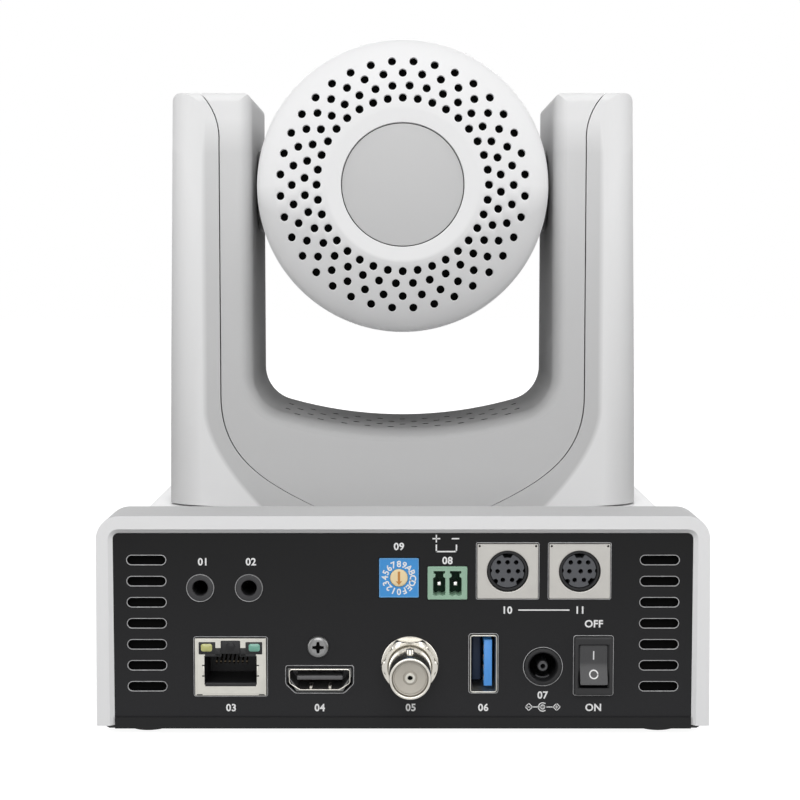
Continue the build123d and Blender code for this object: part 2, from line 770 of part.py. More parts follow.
def terminal_header():
    front, back = panel_face - terminal_proud, panel_face + terminal_depth
    outline = at_panel(Rectangle(terminal_width, terminal_height), terminal_x, terminal_z)
    body = prism_y(outline, front, back)
    width = terminal_pitch - terminal_wall
    for side in (-1, 1):
        pocket = at_panel(Rectangle(width, terminal_height - 2 * terminal_wall),
                          terminal_x + side * terminal_pitch / 2, terminal_z)
        body -= prism_y(pocket, front - clean_cut, back - terminal_back)
    return body


def terminal_pins():
    back = panel_face + terminal_depth - terminal_back
    half = terminal_pin / 2
    places = (terminal_x - terminal_pitch / 2, terminal_x + terminal_pitch / 2)
    return [block(x - half, x + half, panel_face + terminal_back, back,
                  terminal_z - half, terminal_z + half) for x in places]


def socket_contacts():
    """Bare metal contacts of the network jack, the power inlet and the terminal header."""
    return lan_wires() + [inlet_pin()] + terminal_pins()


def selector_body():
    front = panel_face - selector_proud
    body = prism_y(at_panel(Rectangle(selector_size, selector_size), selector_x, selector_z), front,
                   front + selector_depth)
    return body - rod_y(selector_rotor_radius + running_clearance, front,
                        front + selector_depth - selector_back, selector_x, selector_z)


def selector_rotor():
    """Round rotor with an arrow-shaped driver slot that points down at rest."""
    front = panel_face - selector_proud
    body = rod_y(selector_rotor_radius, front + selector_recess,
                 front + selector_depth - selector_back - axial_gap, selector_x, selector_z)
    reach = selector_rotor_radius - arrow_margin
    wide, narrow, neck = arrow_half_width, arrow_half_shaft, -arrow_barbs
    arrow = make_face(Polyline((0, -reach), (wide, neck), (narrow, neck), (narrow, reach),
                               (-narrow, reach), (-narrow, neck), (-wide, neck), close=True))
    return body - prism_y(at_panel(arrow, selector_x, selector_z), front, front + arrow_depth)


def audio_jacks():
    front, back = panel_face - audio_proud, panel_face + audio_depth
    jacks = []
    for x in audio_x:
        barrel = rod_y(audio_radius, front, panel_back + audio_shoulder, x, audio_z)
        barrel += block(x - audio_body_half, x + audio_body_half, panel_back + body_gap, back,
                        control_board_z + board_thickness, audio_z + audio_body_top)
        jacks.append(barrel - rod_y(audio_bore, front - clean_cut, back, x, audio_z))
    return jacks


# ---- pan mechanism ----
pan_centres = gear_module * (pan_gear_teeth + pan_pinion_teeth) / 2
leg_places = [(sx * (chassis_half_width - chassis_corner), sy * (chassis_half_depth - chassis_corner))
              for sx in (-1, 1) for sy in (-1, 1)]


def pan_chassis():
    plate = block(-chassis_half_width, chassis_half_width, -chassis_half_depth, chassis_half_depth,
                  chassis_z, chassis_z + chassis_plate)
    plate = fillet(plate.edges().filter_by(Axis.Z), chassis_corner)
    for x, y in leg_places:
        plate += rod_z(chassis_leg_radius, plate_thickness, chassis_z, x, y)
    return plate - rod_z(bearing_radius, chassis_z, chassis_z + chassis_plate)


def pan_bearing():
    ring = rod_z(bearing_radius, chassis_z, chassis_z + bearing_height)
    seat = chassis_z + chassis_plate
    ring += rod_z(bearing_radius + bearing_flange, seat, seat + bearing_flange)
    return ring - rod_z(spindle_radius + running_clearance, chassis_z, chassis_z + bearing_height)


def pan_spindle():
    flange_z = yoke_bottom + yoke_wall
    spindle = rod_z(spindle_radius, pan_gear_z, flange_z + spindle_flange)
    spindle += rod_z(spindle_flange_radius, flange_z, flange_z + spindle_flange)
    for x, y in frame_screw_places:
        spindle -= rod_z(frame_screw_radius, flange_z, flange_z + spindle_flange, x, y)
    return spindle - rod_z(spindle_bore, pan_gear_z, flange_z + spindle_flange)


def pan_gear():
    rim = Pos(0, 0, pan_gear_z) * spur_gear(pan_gear_teeth, spindle_radius, gear_face,
                                               pan_gear_tooth_at)
    for place in PolarLocations(pan_gear_hole_circle, pan_gear_holes):
        rim -= rod_z(pan_gear_hole, pan_gear_z, pan_gear_z + gear_face, place.position.X,
                     place.position.Y)
    hub_top = chassis_z - axial_gap
    hub = rod_z(spindle_radius + pan_hub, pan_gear_z + gear_face, hub_top)
    return rim + (hub - rod_z(spindle_radius, pan_gear_z, hub_top))


def pan_motor():
    top = plate_thickness + pan_motor_height
    motor = rod_z(pan_motor_radius, plate_thickness, top, 0, pan_centres)
    return motor - rod_z(pan_shaft_radius + running_clearance, top - pan_shaft_grip, top, 0, pan_centres)


def pan_pinion():
    top = plate_thickness + pan_motor_height
    gear = Pos(0, pan_centres, pan_gear_z) * spur_gear(pan_pinion_teeth, pan_shaft_radius, gear_face,
                                                         pan_pinion_tooth_at)
    shaft = rod_z(pan_shaft_radius, top - pan_shaft_grip + axial_gap, pan_gear_z + gear_face, 0,
                  pan_centres)
    return gear + shaft


# ---- yoke ----
def yoke_side(z):
    """Half width of the yoke at a height, where its sides are straight."""
    share = (z - yoke_bottom) / (yoke_top - yoke_bottom)
    return yoke_foot_half_width + (yoke_top_half_width - yoke_foot_half_width) * share


def yoke_section(z, inset):
    """Level outline of the yoke: flat back and front, with corners that round off to the sides."""
    flare = min(1.0, max(0.0, (blend_top - z) / (blend_top - yoke_bottom))) ** 3
    side = yoke_side(z) - inset
    flat = crease_x + (crease_foot_x - crease_x) * flare
    corner = crease_depth + (crease_foot_depth - crease_depth) * flare - inset
    back = yoke_half_depth - inset
    pull = round_pull
    across = side - flat

    def corner_curve(sign_x, sign_y):
        start, end = (flat, back), (side, back - corner)
        first = (flat + pull * across, back)
        second = (side, back - corner + pull * corner)
        points = [(sign_x * px, sign_y * py) for px, py in (start, first, second, end)]
        return Bezier(*points)

    edges = [corner_curve(sx, sy) for sx in (-1, 1) for sy in (-1, 1)]
    edges += [Line((-flat, s * back), (flat, s * back)) for s in (-1, 1)]
    edges += [Line((s * side, corner - back), (s * side, back - corner)) for s in (-1, 1)]
    return Pos(0, 0, z) * make_face(edges)


def yoke_envelope(inset):
    """The yoke without its fork: level outlines joined by a smooth skin, a little too tall each way."""
    low, high, steps = yoke_bottom - clean_cut, yoke_top + clean_cut, yoke_levels
    return loft([yoke_section(low + (high - low) * step / steps, inset) for step in range(steps + 1)])


def fork_outline(inset):
    """The yoke seen from behind: a slab with the fork's gap cut out of it."""
    low, high = yoke_bottom + inset, yoke_top - inset
    wide = base_width
    slab = Pos(0, (low + high) / 2) * Rectangle(wide, high - low)
    reach = yoke_top + saddle_corner - saddle_z
    opening = Pos(0, saddle_z + reach / 2 - saddle_corner) * Rectangle(2 * (fork_half_width + inset),
                                                                      reach + 2 * saddle_corner)
    opening &= Pos(0, saddle_z + saddle_radius) * Circle(saddle_radius + inset)
    opening = fillet(opening.vertices().group_by(Axis.Y)[0], saddle_corner + inset)
    return slab - opening


def edge_cutter(corner_across, turn):
    """Cross-section of the waste outside a rounded upper edge whose corner is at corner_across."""
    reach = 3 * arm_top_radius
    centre = corner_across - turn * arm_top_radius
    level = yoke_top - arm_top_radius
    waste = Pos(centre + turn * reach / 2, level + reach / 2) * Rectangle(reach, reach)
    return waste - Pos(centre, level) * Circle(arm_top_radius)


def arm_top_waste():
    """What is removed to round off the upper edges of both arms."""
    waste = [prism_x(edge_cutter(turn * yoke_half_depth, turn), -base_width, base_width)
             for turn in (-1, 1)]
    for side in (-1, 1):
        for corner, turn in ((yoke_top_half_width, 1), (fork_half_width, -1)):
            waste.append(prism_y(edge_cutter(side * corner, side * turn), -base_width, base_width))
    return waste


def yoke_block():
    """Outside shape of the whole yoke."""
    slab = prism_y(fork_outline(0), -base_width, base_width)
    arms = slab & yoke_envelope(0)
    fork_edges = [edge for edge in arms.edges()
                  if abs(abs(edge.center().Y) - yoke_half_depth) < 0.01
                  and abs(edge.center().X) < fork_half_width + 0.01 and edge.center().Z > saddle_z - 0.1
                  and edge.center().Z < yoke_top - 0.1]
    arms = fillet(fork_edges, fork_edge_radius)
    for waste in arm_top_waste():
        arms -= waste
    return arms


def yoke_cavity():
    return prism_y(fork_outline(yoke_wall), -base_width, base_width) & yoke_envelope(yoke_wall)


def centre_zone(shift):
    """Region between the two seams, seen from behind: straight, flaring out above and in below."""
    x, foot, top_x = seam_x + shift, seam_foot_x + shift, seam_top_x + shift
    low, high, bottom = seam_straight_low, seam_straight_high, yoke_bottom - seam_overrun
    end = yoke_top + clean_cut
    bow = (x + seam_bow, (high + end) / 2 + clean_cut)
    knee_out, knee_in = (x, low - seam_knee_drop), (x - seam_knee_in, low - seam_knee_low)
    right = [ThreePointArc((top_x, end), bow, (x, high)), Line((x, high), (x, low)),
             Bezier((x, low), knee_out, knee_in, (foot, bottom))]
    left = [mirror(edge, Plane.YZ) for edge in right]
    edges = right + left + [Line((top_x, end), (-top_x, end)),
                            Line((foot, bottom), (-foot, bottom))]
    return make_face(edges)


def saddle_holes():
    """Staggered rows of vent holes through the saddle under the head."""
    holes = []
    for number, y in enumerate(saddle_hole_rows):
        count = saddle_holes_long_row - number % 2
        for index in range(count):
            x = (index - (count - 1) / 2) * saddle_hole_pitch
            holes.append(Pos(x, y, 0) * RegularPolygon(saddle_hole_radius, 6))
    return Pos(0, 0, saddle_z - 2 * yoke_wall) * extrude(Sketch() + holes, 4 * yoke_wall)


def yoke_centre_shell(shell):
    zone = prism_y(centre_zone(-seam_gap / 2), -base_width, base_width)
    centre = shell & zone
    centre -= saddle_holes()
    centre -= rod_z(spindle_radius + axial_gap, yoke_bottom, yoke_bottom + yoke_wall)
    for side in (-1, 1):
        centre -= rod_x(trunnion_radius + trunnion_hole_gap, side * (fork_half_width - clean_cut),
                        side * (fork_half_width + yoke_wall + clean_cut), 0, tilt_z)
    return centre


def yoke_cover(shell, side):
    """Outer cover of one arm, with the bosses that screw to the frame."""
    zone = prism_y(centre_zone(seam_gap / 2), -base_width, base_width)
    half = Pos(side * base_width, 0, 0) * Box(2 * base_width, 2 * base_width, 4 * yoke_top)
    cover = (shell - zone) & half
    for z in cover_boss_heights:
        outer = yoke_side(z) - yoke_wall / 2
        end = frame_outer + cover_screw_grip + clean_cut
        boss = rod_x(boss_radius, side * frame_outer, side * outer, 0, z)
        boss -= rod_x(cover_screw_radius, side * frame_outer, side * end, 0, z)
        cover += boss
    return cover


frame_inner = fork_half_width + yoke_wall + frame_gap
frame_outer = frame_inner + frame_thickness
frame_bottom = yoke_bottom + yoke_wall + spindle_flange
frame_screw_places = [(frame_screw_circle * cos(radians(a)), frame_screw_circle * sin(radians(a)))
                      for a in (45, 135, 225, 315)]


def yoke_frame():
    """Bent steel bracket that carries the tilt axis on top of the pan spindle."""
    frame = block(-frame_outer, frame_outer, -frame_half_depth, frame_half_depth,
                  frame_bottom, frame_bottom + frame_thickness)
    for side in (-1, 1):
        arm = [side * frame_inner, side * frame_outer]
        frame += block(min(arm), max(arm), -frame_half_depth, frame_half_depth, frame_bottom, frame_top)
        frame -= rod_x(tilt_bearing_radius, side * (frame_inner - clean_cut),
                       side * (frame_outer + clean_cut), 0, tilt_z)
        for z in cover_boss_heights:
            frame -= rod_x(cover_screw_radius, side * (frame_inner - clean_cut),
                           side * (frame_outer + clean_cut), 0, z)
    for x, y in frame_screw_places:
        frame -= rod_z(frame_screw_radius, frame_bottom, frame_bottom + frame_thickness, x, y)
    return frame - rod_z(spindle_bore, frame_bottom, frame_bottom + frame_thickness)


def yoke_screws():
    """Screws that hold the frame to the spindle, and those that hold the covers to the frame."""
    top = frame_bottom + frame_thickness
    shank = frame_screw_radius - running_clearance
    screws = [rod_z(shank, yoke_bottom + yoke_wall + 0.2, top, x, y)
              + rod_z(frame_screw_head, top, top + frame_screw_head_height, x, y)
              for x, y in frame_screw_places]
    cover_shank = cover_screw_radius - running_clearance
    for side in (-1, 1):
        for z in cover_boss_heights:
            start, end = side * (frame_inner - screw_end), side * (frame_outer + cover_screw_grip)
            if z > blend_top:
                start = side * (frame_inner - wall_clearance)
            screws.append(rod_x(cover_shank, start, end, 0, z))
    return screws


def tilt_bearings():
    start = frame_inner - wall_clearance
    return [rod_x(tilt_bearing_radius, side * start, side * (start + tilt_bearing_width), 0, tilt_z)
             - rod_x(trunnion_radius + running_clearance, side * (start - clean_cut),
                     side * (start + tilt_bearing_width + clean_cut), 0, tilt_z) for side in (-1, 1)]


tilt_gear_x = frame_inner - wall_clearance + tilt_bearing_width + axial_gap
tilt_motor_x = tilt_gear_x + tilt_gear_face + 2 * axial_gap
tilt_centres = gear_module * (tilt_gear_teeth + tilt_pinion_teeth) / 2
sensor_board_x = tilt_gear_x + sensor_board_gap


def gear_on_x(teeth, bore, x0, z, tooth_at):
    """Gear about an axis along +X; the angle tooth_at is counted from +Y towards +Z."""
    plane = Plane(origin=(x0, 0, z), x_dir=(0, 1, 0), z_dir=(1, 0, 0))
    return plane * spur_gear(teeth, bore, tilt_gear_face, tooth_at)


def tilt_gear():
    return gear_on_x(tilt_gear_teeth, trunnion_radius, tilt_gear_x, tilt_z, tilt_gear_tooth_at)


def tilt_pinion():
    z = tilt_z - tilt_centres
    gap_up = 90 + 180 / tilt_pinion_teeth
    gear = gear_on_x(tilt_pinion_teeth, tilt_shaft_radius, tilt_gear_x, z, gap_up)
    return gear + rod_x(tilt_shaft_radius, tilt_gear_x, tilt_motor_x + tilt_motor_length - motor_back,
                        0, z)


def tilt_motor():
    """Flat stepper motor on two posts that reach back to the frame past the gear."""
    z = tilt_z - tilt_centres
    motor = rod_x(tilt_motor_radius, tilt_motor_x, tilt_motor_x + tilt_motor_length, 0, z)
    ear = Pos(0, z) * SlotOverall(2 * (motor_post_y + motor_post_radius), 2 * motor_post_radius)
    motor += prism_x(ear, tilt_motor_x, tilt_motor_x + motor_ear)
    for y in (-motor_post_y, motor_post_y):
        motor += rod_x(motor_post_radius, frame_outer, tilt_motor_x, y, z)
    return motor - rod_x(tilt_shaft_radius + running_clearance, tilt_motor_x - clean_cut,
                         tilt_motor_x + tilt_motor_length - motor_back + axial_gap, 0, z)


def tilt_sensor():
    """Position sensor board on the arm without the gear."""
    x = -sensor_board_x
    half_depth, half_height = frame_half_depth - sensor_board_inset, sensor_board_half_height
    board = block(x - sensor_board_thickness, x, -half_depth, half_depth, tilt_z - half_height,
                  tilt_z + half_height)
    for y in (-sensor_post_y, sensor_post_y):
        for dz in (-sensor_post_z, sensor_post_z):
            board += rod_x(sensor_post_radius, x, -frame_outer, y, tilt_z + dz)
    return board


# ---- head ----
def head_outline(inset):
    """Half profile of the head: domed rear, straight drum, slight taper and a rounded front edge."""
    radius = head_radius - inset
    ring = flat_ring_radius - inset / 2
    rear = -head_rear + inset
    pull = round_pull
    dome_y = -dome_start
    across, deep = radius - ring, dome_y - rear
    front = head_front - inset
    nose = head_front_radius - inset
    edge = head_front_edge - inset
    edges = [Line((0, rear), (ring, rear)),
             Bezier((ring, rear), (ring + pull * across, rear), (radius, dome_y - pull * deep),
                    (radius, dome_y)),
             Line((radius, dome_y), (radius, head_taper_y)),
             Line((radius, head_taper_y), (nose, front - edge)),
             Bezier((nose, front - edge), (nose, front - edge * (1 - pull)),
                    (nose - edge * (1 - pull), front), (nose - edge, front)),
             Line((nose - edge, front), (0, front)),
             Line((0, front), (0, rear))]
    return make_face(edges)


def head_shell():
    return spun_about_y(head_outline(0), tilt_z) - spun_about_y(head_outline(head_wall), tilt_z)


def head_vent_holes():
    """Rings of round vent holes in the domed rear, drilled straight along the head."""
    holes = []
    for radius, turn in zip(vent_ring_radii, vent_ring_turns):
        for index in range(vent_holes_in_ring):
            angle = radians(turn + 360 / vent_holes_in_ring * index)
            holes.append(Pos(radius * sin(angle), tilt_z + radius * cos(angle))
                         * RegularPolygon(vent_hole_radius, 6))
    return prism_y(Sketch() + holes, -head_rear - clean_cut, -dome_start + head_wall)


def head_rear_cover(shell):
    rear = shell & block(-base_width, base_width, -base_width, head_seam_y, 0, 2 * tilt_z)
    rear -= head_vent_holes()
    seat = rear_disc_radius + rear_disc_groove
    floor = -head_rear + rear_disc_recess + rear_disc_thickness
    return rear - rod_y(seat, -head_rear - clean_cut, floor, 0, tilt_z)


def head_rear_disc():
    front = -head_rear + rear_disc_recess
    return rod_y(rear_disc_radius, front, front + rear_disc_thickness, 0, tilt_z)


def head_front_cover(shell):
    front = shell & block(-base_width, base_width, head_seam_y, base_width, 0, 2 * tilt_z)
    front -= rod_y(lens_window_radius, head_front - 2 * head_wall, head_front + clean_cut, 0, tilt_z)
    for side in (-1, 1):
        front -= rod_x(trunnion_boss_radius + trunnion_boss_clearance, side * trunnion_inner,
                       side * (head_radius + clean_cut), 0, tilt_z)
    return front


def lens_ring():
    """Dark ring seated behind the rim of the front window."""
    front = head_front - head_wall
    inner, outer = lens_window_radius - lens_ring_width, lens_window_radius + lens_ring_lap
    rim = lens_window_radius - lens_ring_gap
    profile = make_face(Polyline((inner, front - lens_ring_depth), (outer, front - lens_ring_depth),
                                 (outer, front), (rim, front), (rim, head_front - lens_ring_recess),
                                 (inner, head_front - glass_recess), close=True))
    return spun_about_y(profile, tilt_z)


def front_glass():
    front = head_front - glass_recess - glass_seat
    return rod_y(lens_window_radius - lens_ring_width, front - glass_thickness, front, 0, tilt_z)


def head_trunnions():
    """Hollow stub shafts with the round bosses seen between the head and the arms."""
    outer = fork_half_width - trunnion_boss_gap
    stubs = []
    for side, reach in ((1, tilt_gear_x + tilt_gear_face + axial_gap), (-1, sensor_board_x - axial_gap)):
        stub = rod_x(trunnion_boss_radius, side * trunnion_inner, side * outer, 0, tilt_z)
        stub += rod_x(trunnion_radius, side * outer, side * reach, 0, tilt_z)
        stubs.append(stub - rod_x(trunnion_bore, side * trunnion_inner, side * reach, 0, tilt_z))
    return stubs


def head_chassis():
    """Cross frame that joins both trunnions and grips the lens barrel."""
    half_z, half_y = head_chassis_half_height, head_chassis_half_depth
    frame = block(-trunnion_inner, trunnion_inner, -half_y, half_y, tilt_z - half_z, tilt_z + half_z)
    ring = rod_y(barrel_radius + barrel_grip, -half_y, half_y, 0, tilt_z)
    return frame + ring - rod_y(barrel_radius, -half_y, half_y, 0, tilt_z)


def lens_barrel():
    inner = barrel_radius - barrel_wall
    tube = rod_y(barrel_radius, -barrel_rear, barrel_front, 0, tilt_z)
    tube -= rod_y(inner, -barrel_rear + barrel_wall, barrel_front, 0, tilt_z)
    return tube - rod_y(barrel_rear_hole, -barrel_rear, -barrel_rear + barrel_wall, 0, tilt_z)


def front_lens():
    """First lens group, with a bulging front face."""
    inner = barrel_radius - barrel_wall
    back = barrel_front - front_lens_thickness
    ball = (inner ** 2 + front_lens_bulge ** 2) / (2 * front_lens_bulge)
    cylinder = rod_y(inner, back, barrel_front, 0, tilt_z)
    return cylinder & (Pos(0, barrel_front - ball, tilt_z) * Sphere(ball))


rod_start = -barrel_rear + barrel_wall
rod_end = barrel_front - front_lens_thickness


def guide_rods():
    return [rod_y(guide_rod_radius, rod_start, rod_end, 0, tilt_z + side * guide_rod_offset)
            for side in (-1, 1)]


def lens_group(start, length):
    """Sliding lens cell: a ring bored for both guide rods, closed by its lens."""
    middle = start + length / 2
    cell = rod_y(carriage_radius, start, start + length, 0, tilt_z)
    cell -= rod_y(carriage_bore, start, start + length, 0, tilt_z)
    cell += rod_y(carriage_bore, middle - group_thickness / 2, middle + group_thickness / 2, 0, tilt_z)
    for side in (-1, 1):
        cell -= rod_y(guide_rod_radius + running_clearance, start, start + length, 0,
                      tilt_z + side * guide_rod_offset)
    return cell


def sensor_board():
    half = sensor_size / 2
    back = -barrel_rear
    return block(-half, half, back - board_thickness, back, tilt_z - half, tilt_z + half)


def heat_sink():
    half = sensor_size / 2 - sink_inset
    front = -barrel_rear - board_thickness - sensor_gap
    sink = block(-half, half, front - sink_base, front, tilt_z - half, tilt_z + half)
    pitch = (2 * half - sink_fin_thickness) / (sink_fins - 1)
    for index in range(sink_fins):
        x = -half + index * pitch
        sink += block(x, x + sink_fin_thickness, front - sink_base - sink_fin_length, front - sink_base,
                      tilt_z - half, tilt_z + half)
    return sink


def save(name, shape):
    solids = shape if isinstance(shape, list) else [shape]
    body = solids[0] if len(solids) == 1 else Compound(children=solids)
    export_step(body, f"parts/{name}.step")


os.makedirs("parts", exist_ok=True)
yoke_shell = yoke_block() - yoke_cavity()
head_skin = head_shell()
parts = {
    "base_cover": base_cover(), "base_plate": base_plate(), "rubber_feet": rubber_feet(),
    "base_screws": base_screws(), "tripod_bush": tripod_bush(), "ir_window": ir_window(),
    "rear_panel": rear_panel(), "circuit_boards": circuit_boards(), "board_spacers": board_spacers(),
    "lan_shield": lan_shield(), "lan_insert": lan_insert(), "lan_lights": lan_lights(),
    "video_shield": video_shield(), "video_insert": video_insert(), "panel_screw": panel_screw(),
    "coax_body": coax_body(), "coax_nut": coax_nut(), "coax_insulator": coax_insulator(),
    "usb_shield": usb_shield(), "usb_insert": usb_insert(), "dc_inlet": dc_inlet(),
    "socket_contacts": socket_contacts(), "switch_frame": switch_frame(),
    "switch_rocker": switch_rocker(), "din_shields": din_shields(), "din_inserts": din_inserts(),
    "terminal_header": terminal_header(), "selector_body": selector_body(),
    "selector_rotor": selector_rotor(), "audio_jacks": audio_jacks(),
    "pan_chassis": pan_chassis(), "pan_bearing": pan_bearing(), "pan_spindle": pan_spindle(),
    "pan_gear": pan_gear(), "pan_motor": pan_motor(), "pan_pinion": pan_pinion(),
    "yoke_centre_shell": yoke_centre_shell(yoke_shell), "yoke_cover_left": yoke_cover(yoke_shell, -1),
    "yoke_cover_right": yoke_cover(yoke_shell, 1), "yoke_frame": yoke_frame(),
    "yoke_screws": yoke_screws(), "tilt_bearings": tilt_bearings(), "tilt_gear": tilt_gear(),
    "tilt_pinion": tilt_pinion(), "tilt_motor": tilt_motor(), "tilt_sensor": tilt_sensor(),
    "head_rear_cover": head_rear_cover(head_skin), "head_rear_disc": head_rear_disc(),
    "head_front_cover": head_front_cover(head_skin), "lens_ring": lens_ring(),
    "front_glass": front_glass(), "head_trunnions": head_trunnions(), "head_chassis": head_chassis(),
    "lens_barrel": lens_barrel(), "front_lens": front_lens(), "guide_rods": guide_rods(),
    "zoom_group": lens_group(zoom_rest, zoom_length),
    "focus_group": lens_group(focus_rest, focus_length),
    "sensor_board": sensor_board(), "heat_sink": heat_sink(),
}
for node, shape in parts.items():
    save(node, shape)
print(len(parts), "nodes")
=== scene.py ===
import bpy
import bmesh
import numpy as np
from math import atan2, cos, pi, radians, sin
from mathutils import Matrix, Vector
from mathutils.geometry import delaunay_2d_cdt


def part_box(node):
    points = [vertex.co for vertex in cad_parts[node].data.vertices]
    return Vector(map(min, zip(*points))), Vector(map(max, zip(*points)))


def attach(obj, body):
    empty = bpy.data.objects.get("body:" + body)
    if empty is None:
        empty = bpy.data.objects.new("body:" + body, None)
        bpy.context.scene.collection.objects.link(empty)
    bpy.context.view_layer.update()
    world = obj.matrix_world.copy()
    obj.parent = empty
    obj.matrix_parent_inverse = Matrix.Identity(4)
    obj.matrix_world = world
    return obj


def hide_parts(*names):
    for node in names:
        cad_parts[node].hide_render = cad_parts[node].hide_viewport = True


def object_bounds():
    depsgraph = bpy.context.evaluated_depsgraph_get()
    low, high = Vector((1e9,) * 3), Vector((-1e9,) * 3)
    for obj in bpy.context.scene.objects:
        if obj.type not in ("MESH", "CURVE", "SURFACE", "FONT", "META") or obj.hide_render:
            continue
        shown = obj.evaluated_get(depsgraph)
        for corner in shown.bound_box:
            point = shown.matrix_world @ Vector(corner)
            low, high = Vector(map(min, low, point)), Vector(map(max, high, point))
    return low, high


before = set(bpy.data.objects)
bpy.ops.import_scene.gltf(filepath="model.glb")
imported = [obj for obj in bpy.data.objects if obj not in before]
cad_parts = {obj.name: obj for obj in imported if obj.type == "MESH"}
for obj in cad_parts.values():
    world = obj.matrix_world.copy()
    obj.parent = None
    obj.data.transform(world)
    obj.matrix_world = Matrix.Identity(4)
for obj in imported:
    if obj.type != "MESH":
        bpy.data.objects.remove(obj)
cad_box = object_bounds()

# ---- Setting ----
# The camera stands on a plain white sheet in soft studio light: a wide key lamp above the viewer, a fill
# level with the viewer, a strip on each side and a lamp on the far side. The viewer looks at its panel.
mm = 0.001
room_light, paper_grey, paper_glow = 0.25, 0.3, 0.93
scene = bpy.context.scene
scene.view_settings.view_transform = "Standard"


def shader_tree(owner):
    """Turns on the nodes of a material or world, empties them, and returns nodes and links."""
    owner.use_nodes = True
    owner.node_tree.nodes.clear()
    return owner.node_tree.nodes, owner.node_tree.links


def seen_directly(nodes, links):
    """Socket that is 1 where the viewer looks straight, or through gloss or glass, at the surface."""
    path = nodes.new("ShaderNodeLightPath")
    last = path.outputs["Is Camera Ray"]
    for name in ("Is Glossy Ray", "Is Transmission Ray"):
        both = nodes.new("ShaderNodeMath")
        both.operation = "MAXIMUM"
        links.new(last, both.inputs[0])
        links.new(path.outputs[name], both.inputs[1])
        last = both.outputs[0]
    return last


world = bpy.data.worlds.new("studio")
scene.world = world
nodes, links = shader_tree(world)
ambient, white = nodes.new("ShaderNodeBackground"), nodes.new("ShaderNodeBackground")
ambient.inputs["Color"].default_value = (1, 1, 1, 1)
ambient.inputs["Strength"].default_value = room_light
white.inputs["Color"].default_value = (1, 1, 1, 1)
chosen, out = nodes.new("ShaderNodeMixShader"), nodes.new("ShaderNodeOutputWorld")
links.new(seen_directly(nodes, links), chosen.inputs[0])
links.new(ambient.outputs[0], chosen.inputs[1])
links.new(white.outputs[0], chosen.inputs[2])
links.new(chosen.outputs[0], out.inputs["Surface"])

floor_mesh = bpy.data.meshes.new("floor")
floor_half, floor_level = 3.0, cad_box[0][2] - 0.0001
floor_corners = ((-1, -1), (1, -1), (1, 1), (-1, 1))
floor_mesh.from_pydata([(x * floor_half, y * floor_half, floor_level) for x, y in floor_corners], [],
                       [(0, 1, 2, 3)])
floor = bpy.data.objects.new("floor", floor_mesh)
scene.collection.objects.link(floor)
paper = bpy.data.materials.new("white paper")
nodes, links = shader_tree(paper)
matt, glow = nodes.new("ShaderNodeBsdfDiffuse"), nodes.new("ShaderNodeEmission")
matt.inputs["Color"].default_value = (paper_grey, paper_grey, paper_grey, 1)
share = nodes.new("ShaderNodeMath")
share.operation = "MULTIPLY"
share.inputs[1].default_value = paper_glow
links.new(seen_directly(nodes, links), share.inputs[0])
links.new(share.outputs[0], glow.inputs["Strength"])
both, out = nodes.new("ShaderNodeAddShader"), nodes.new("ShaderNodeOutputMaterial")
links.new(matt.outputs[0], both.inputs[0])
links.new(glow.outputs[0], both.inputs[1])
links.new(both.outputs[0], out.inputs["Surface"])
floor_mesh.materials.append(paper)


def lamp(name, place, aim, size, power):
    """Rectangular soft lamp at a place, turned so that it faces the aim."""
    data = bpy.data.lights.new(name, "AREA")
    data.shape = "RECTANGLE"
    data.size, data.size_y = size
    data.energy = power
    obj = bpy.data.objects.new(name, data)
    way = np.array(aim) - np.array(place)
    flat = np.hypot(way[0], way[1])
    obj.location = place
    obj.rotation_euler = (atan2(flat, -way[2]), 0, atan2(-way[0], way[1]) if flat > 1e-6 else 0)
    scene.collection.objects.link(obj)


middle = (0, 0, 0.08)
for name, x in (("left strip", -0.75), ("right strip", 0.75)):
    lamp(name, (x, -0.2, 0.25), middle, (0.35, 0.9), 2.4)
lamp("key", (0, -0.98, 0.93), middle, (0.9, 0.7), 8.4)
lamp("fill", (0, -1.05, 0.13), middle, (0.6, 0.4), 2.1)
lamp("far side", (0, 1.1, 0.6), middle, (0.9, 0.6), 6.5)

view = bpy.data.cameras.new("camera")
view.lens = 79.5
view.sensor_width = 36
eye = bpy.data.objects.new("camera", view)
eye.location = (-0.0007, -0.4933, 0.1092)
eye.rotation_euler = (radians(90 - 4.42), 0, 0)
scene.collection.objects.link(eye)
scene.camera = eye

# ---- Base plate, tripod bush, feet and screws ----
# A pressed steel plate under black paint closes the housing from below. A brass bush with a flange holds
# the tripod screw, and four rubber feet and four steel screws sit in its pockets.
grain = bpy.data.node_groups.new("fine grain", "ShaderNodeTree")
for way, name, kind in (("INPUT", "Colour", "Color"), ("INPUT", "Shade", "Float"),
                        ("INPUT", "Scale", "Float"), ("INPUT", "Rough", "Float"),
                        ("INPUT", "Rough spread", "Float"), ("INPUT", "Stretch", "Vector"),
                        ("OUTPUT", "Colour", "Color"), ("OUTPUT", "Roughness", "Float"),
                        ("OUTPUT", "Height", "Float")):
    grain.interface.new_socket(name, in_out=way, socket_type="NodeSocket" + kind)
nodes, links = grain.nodes, grain.links
given, made = nodes.new("NodeGroupInput"), nodes.new("NodeGroupOutput")
place = nodes.new("ShaderNodeTexCoord")
scaled = nodes.new("ShaderNodeVectorMath")
scaled.operation = "MULTIPLY"
links.new(place.outputs["Object"], scaled.inputs[0])
links.new(given.outputs["Stretch"], scaled.inputs[1])
fine, broad = nodes.new("ShaderNodeTexNoise"), nodes.new("ShaderNodeTexNoise")
fine_share, broad_share = 0.6, 0.4
fine.inputs["Detail"].default_value = 3
broad.inputs["Detail"].default_value = 4
broad.inputs["Scale"].default_value = 22
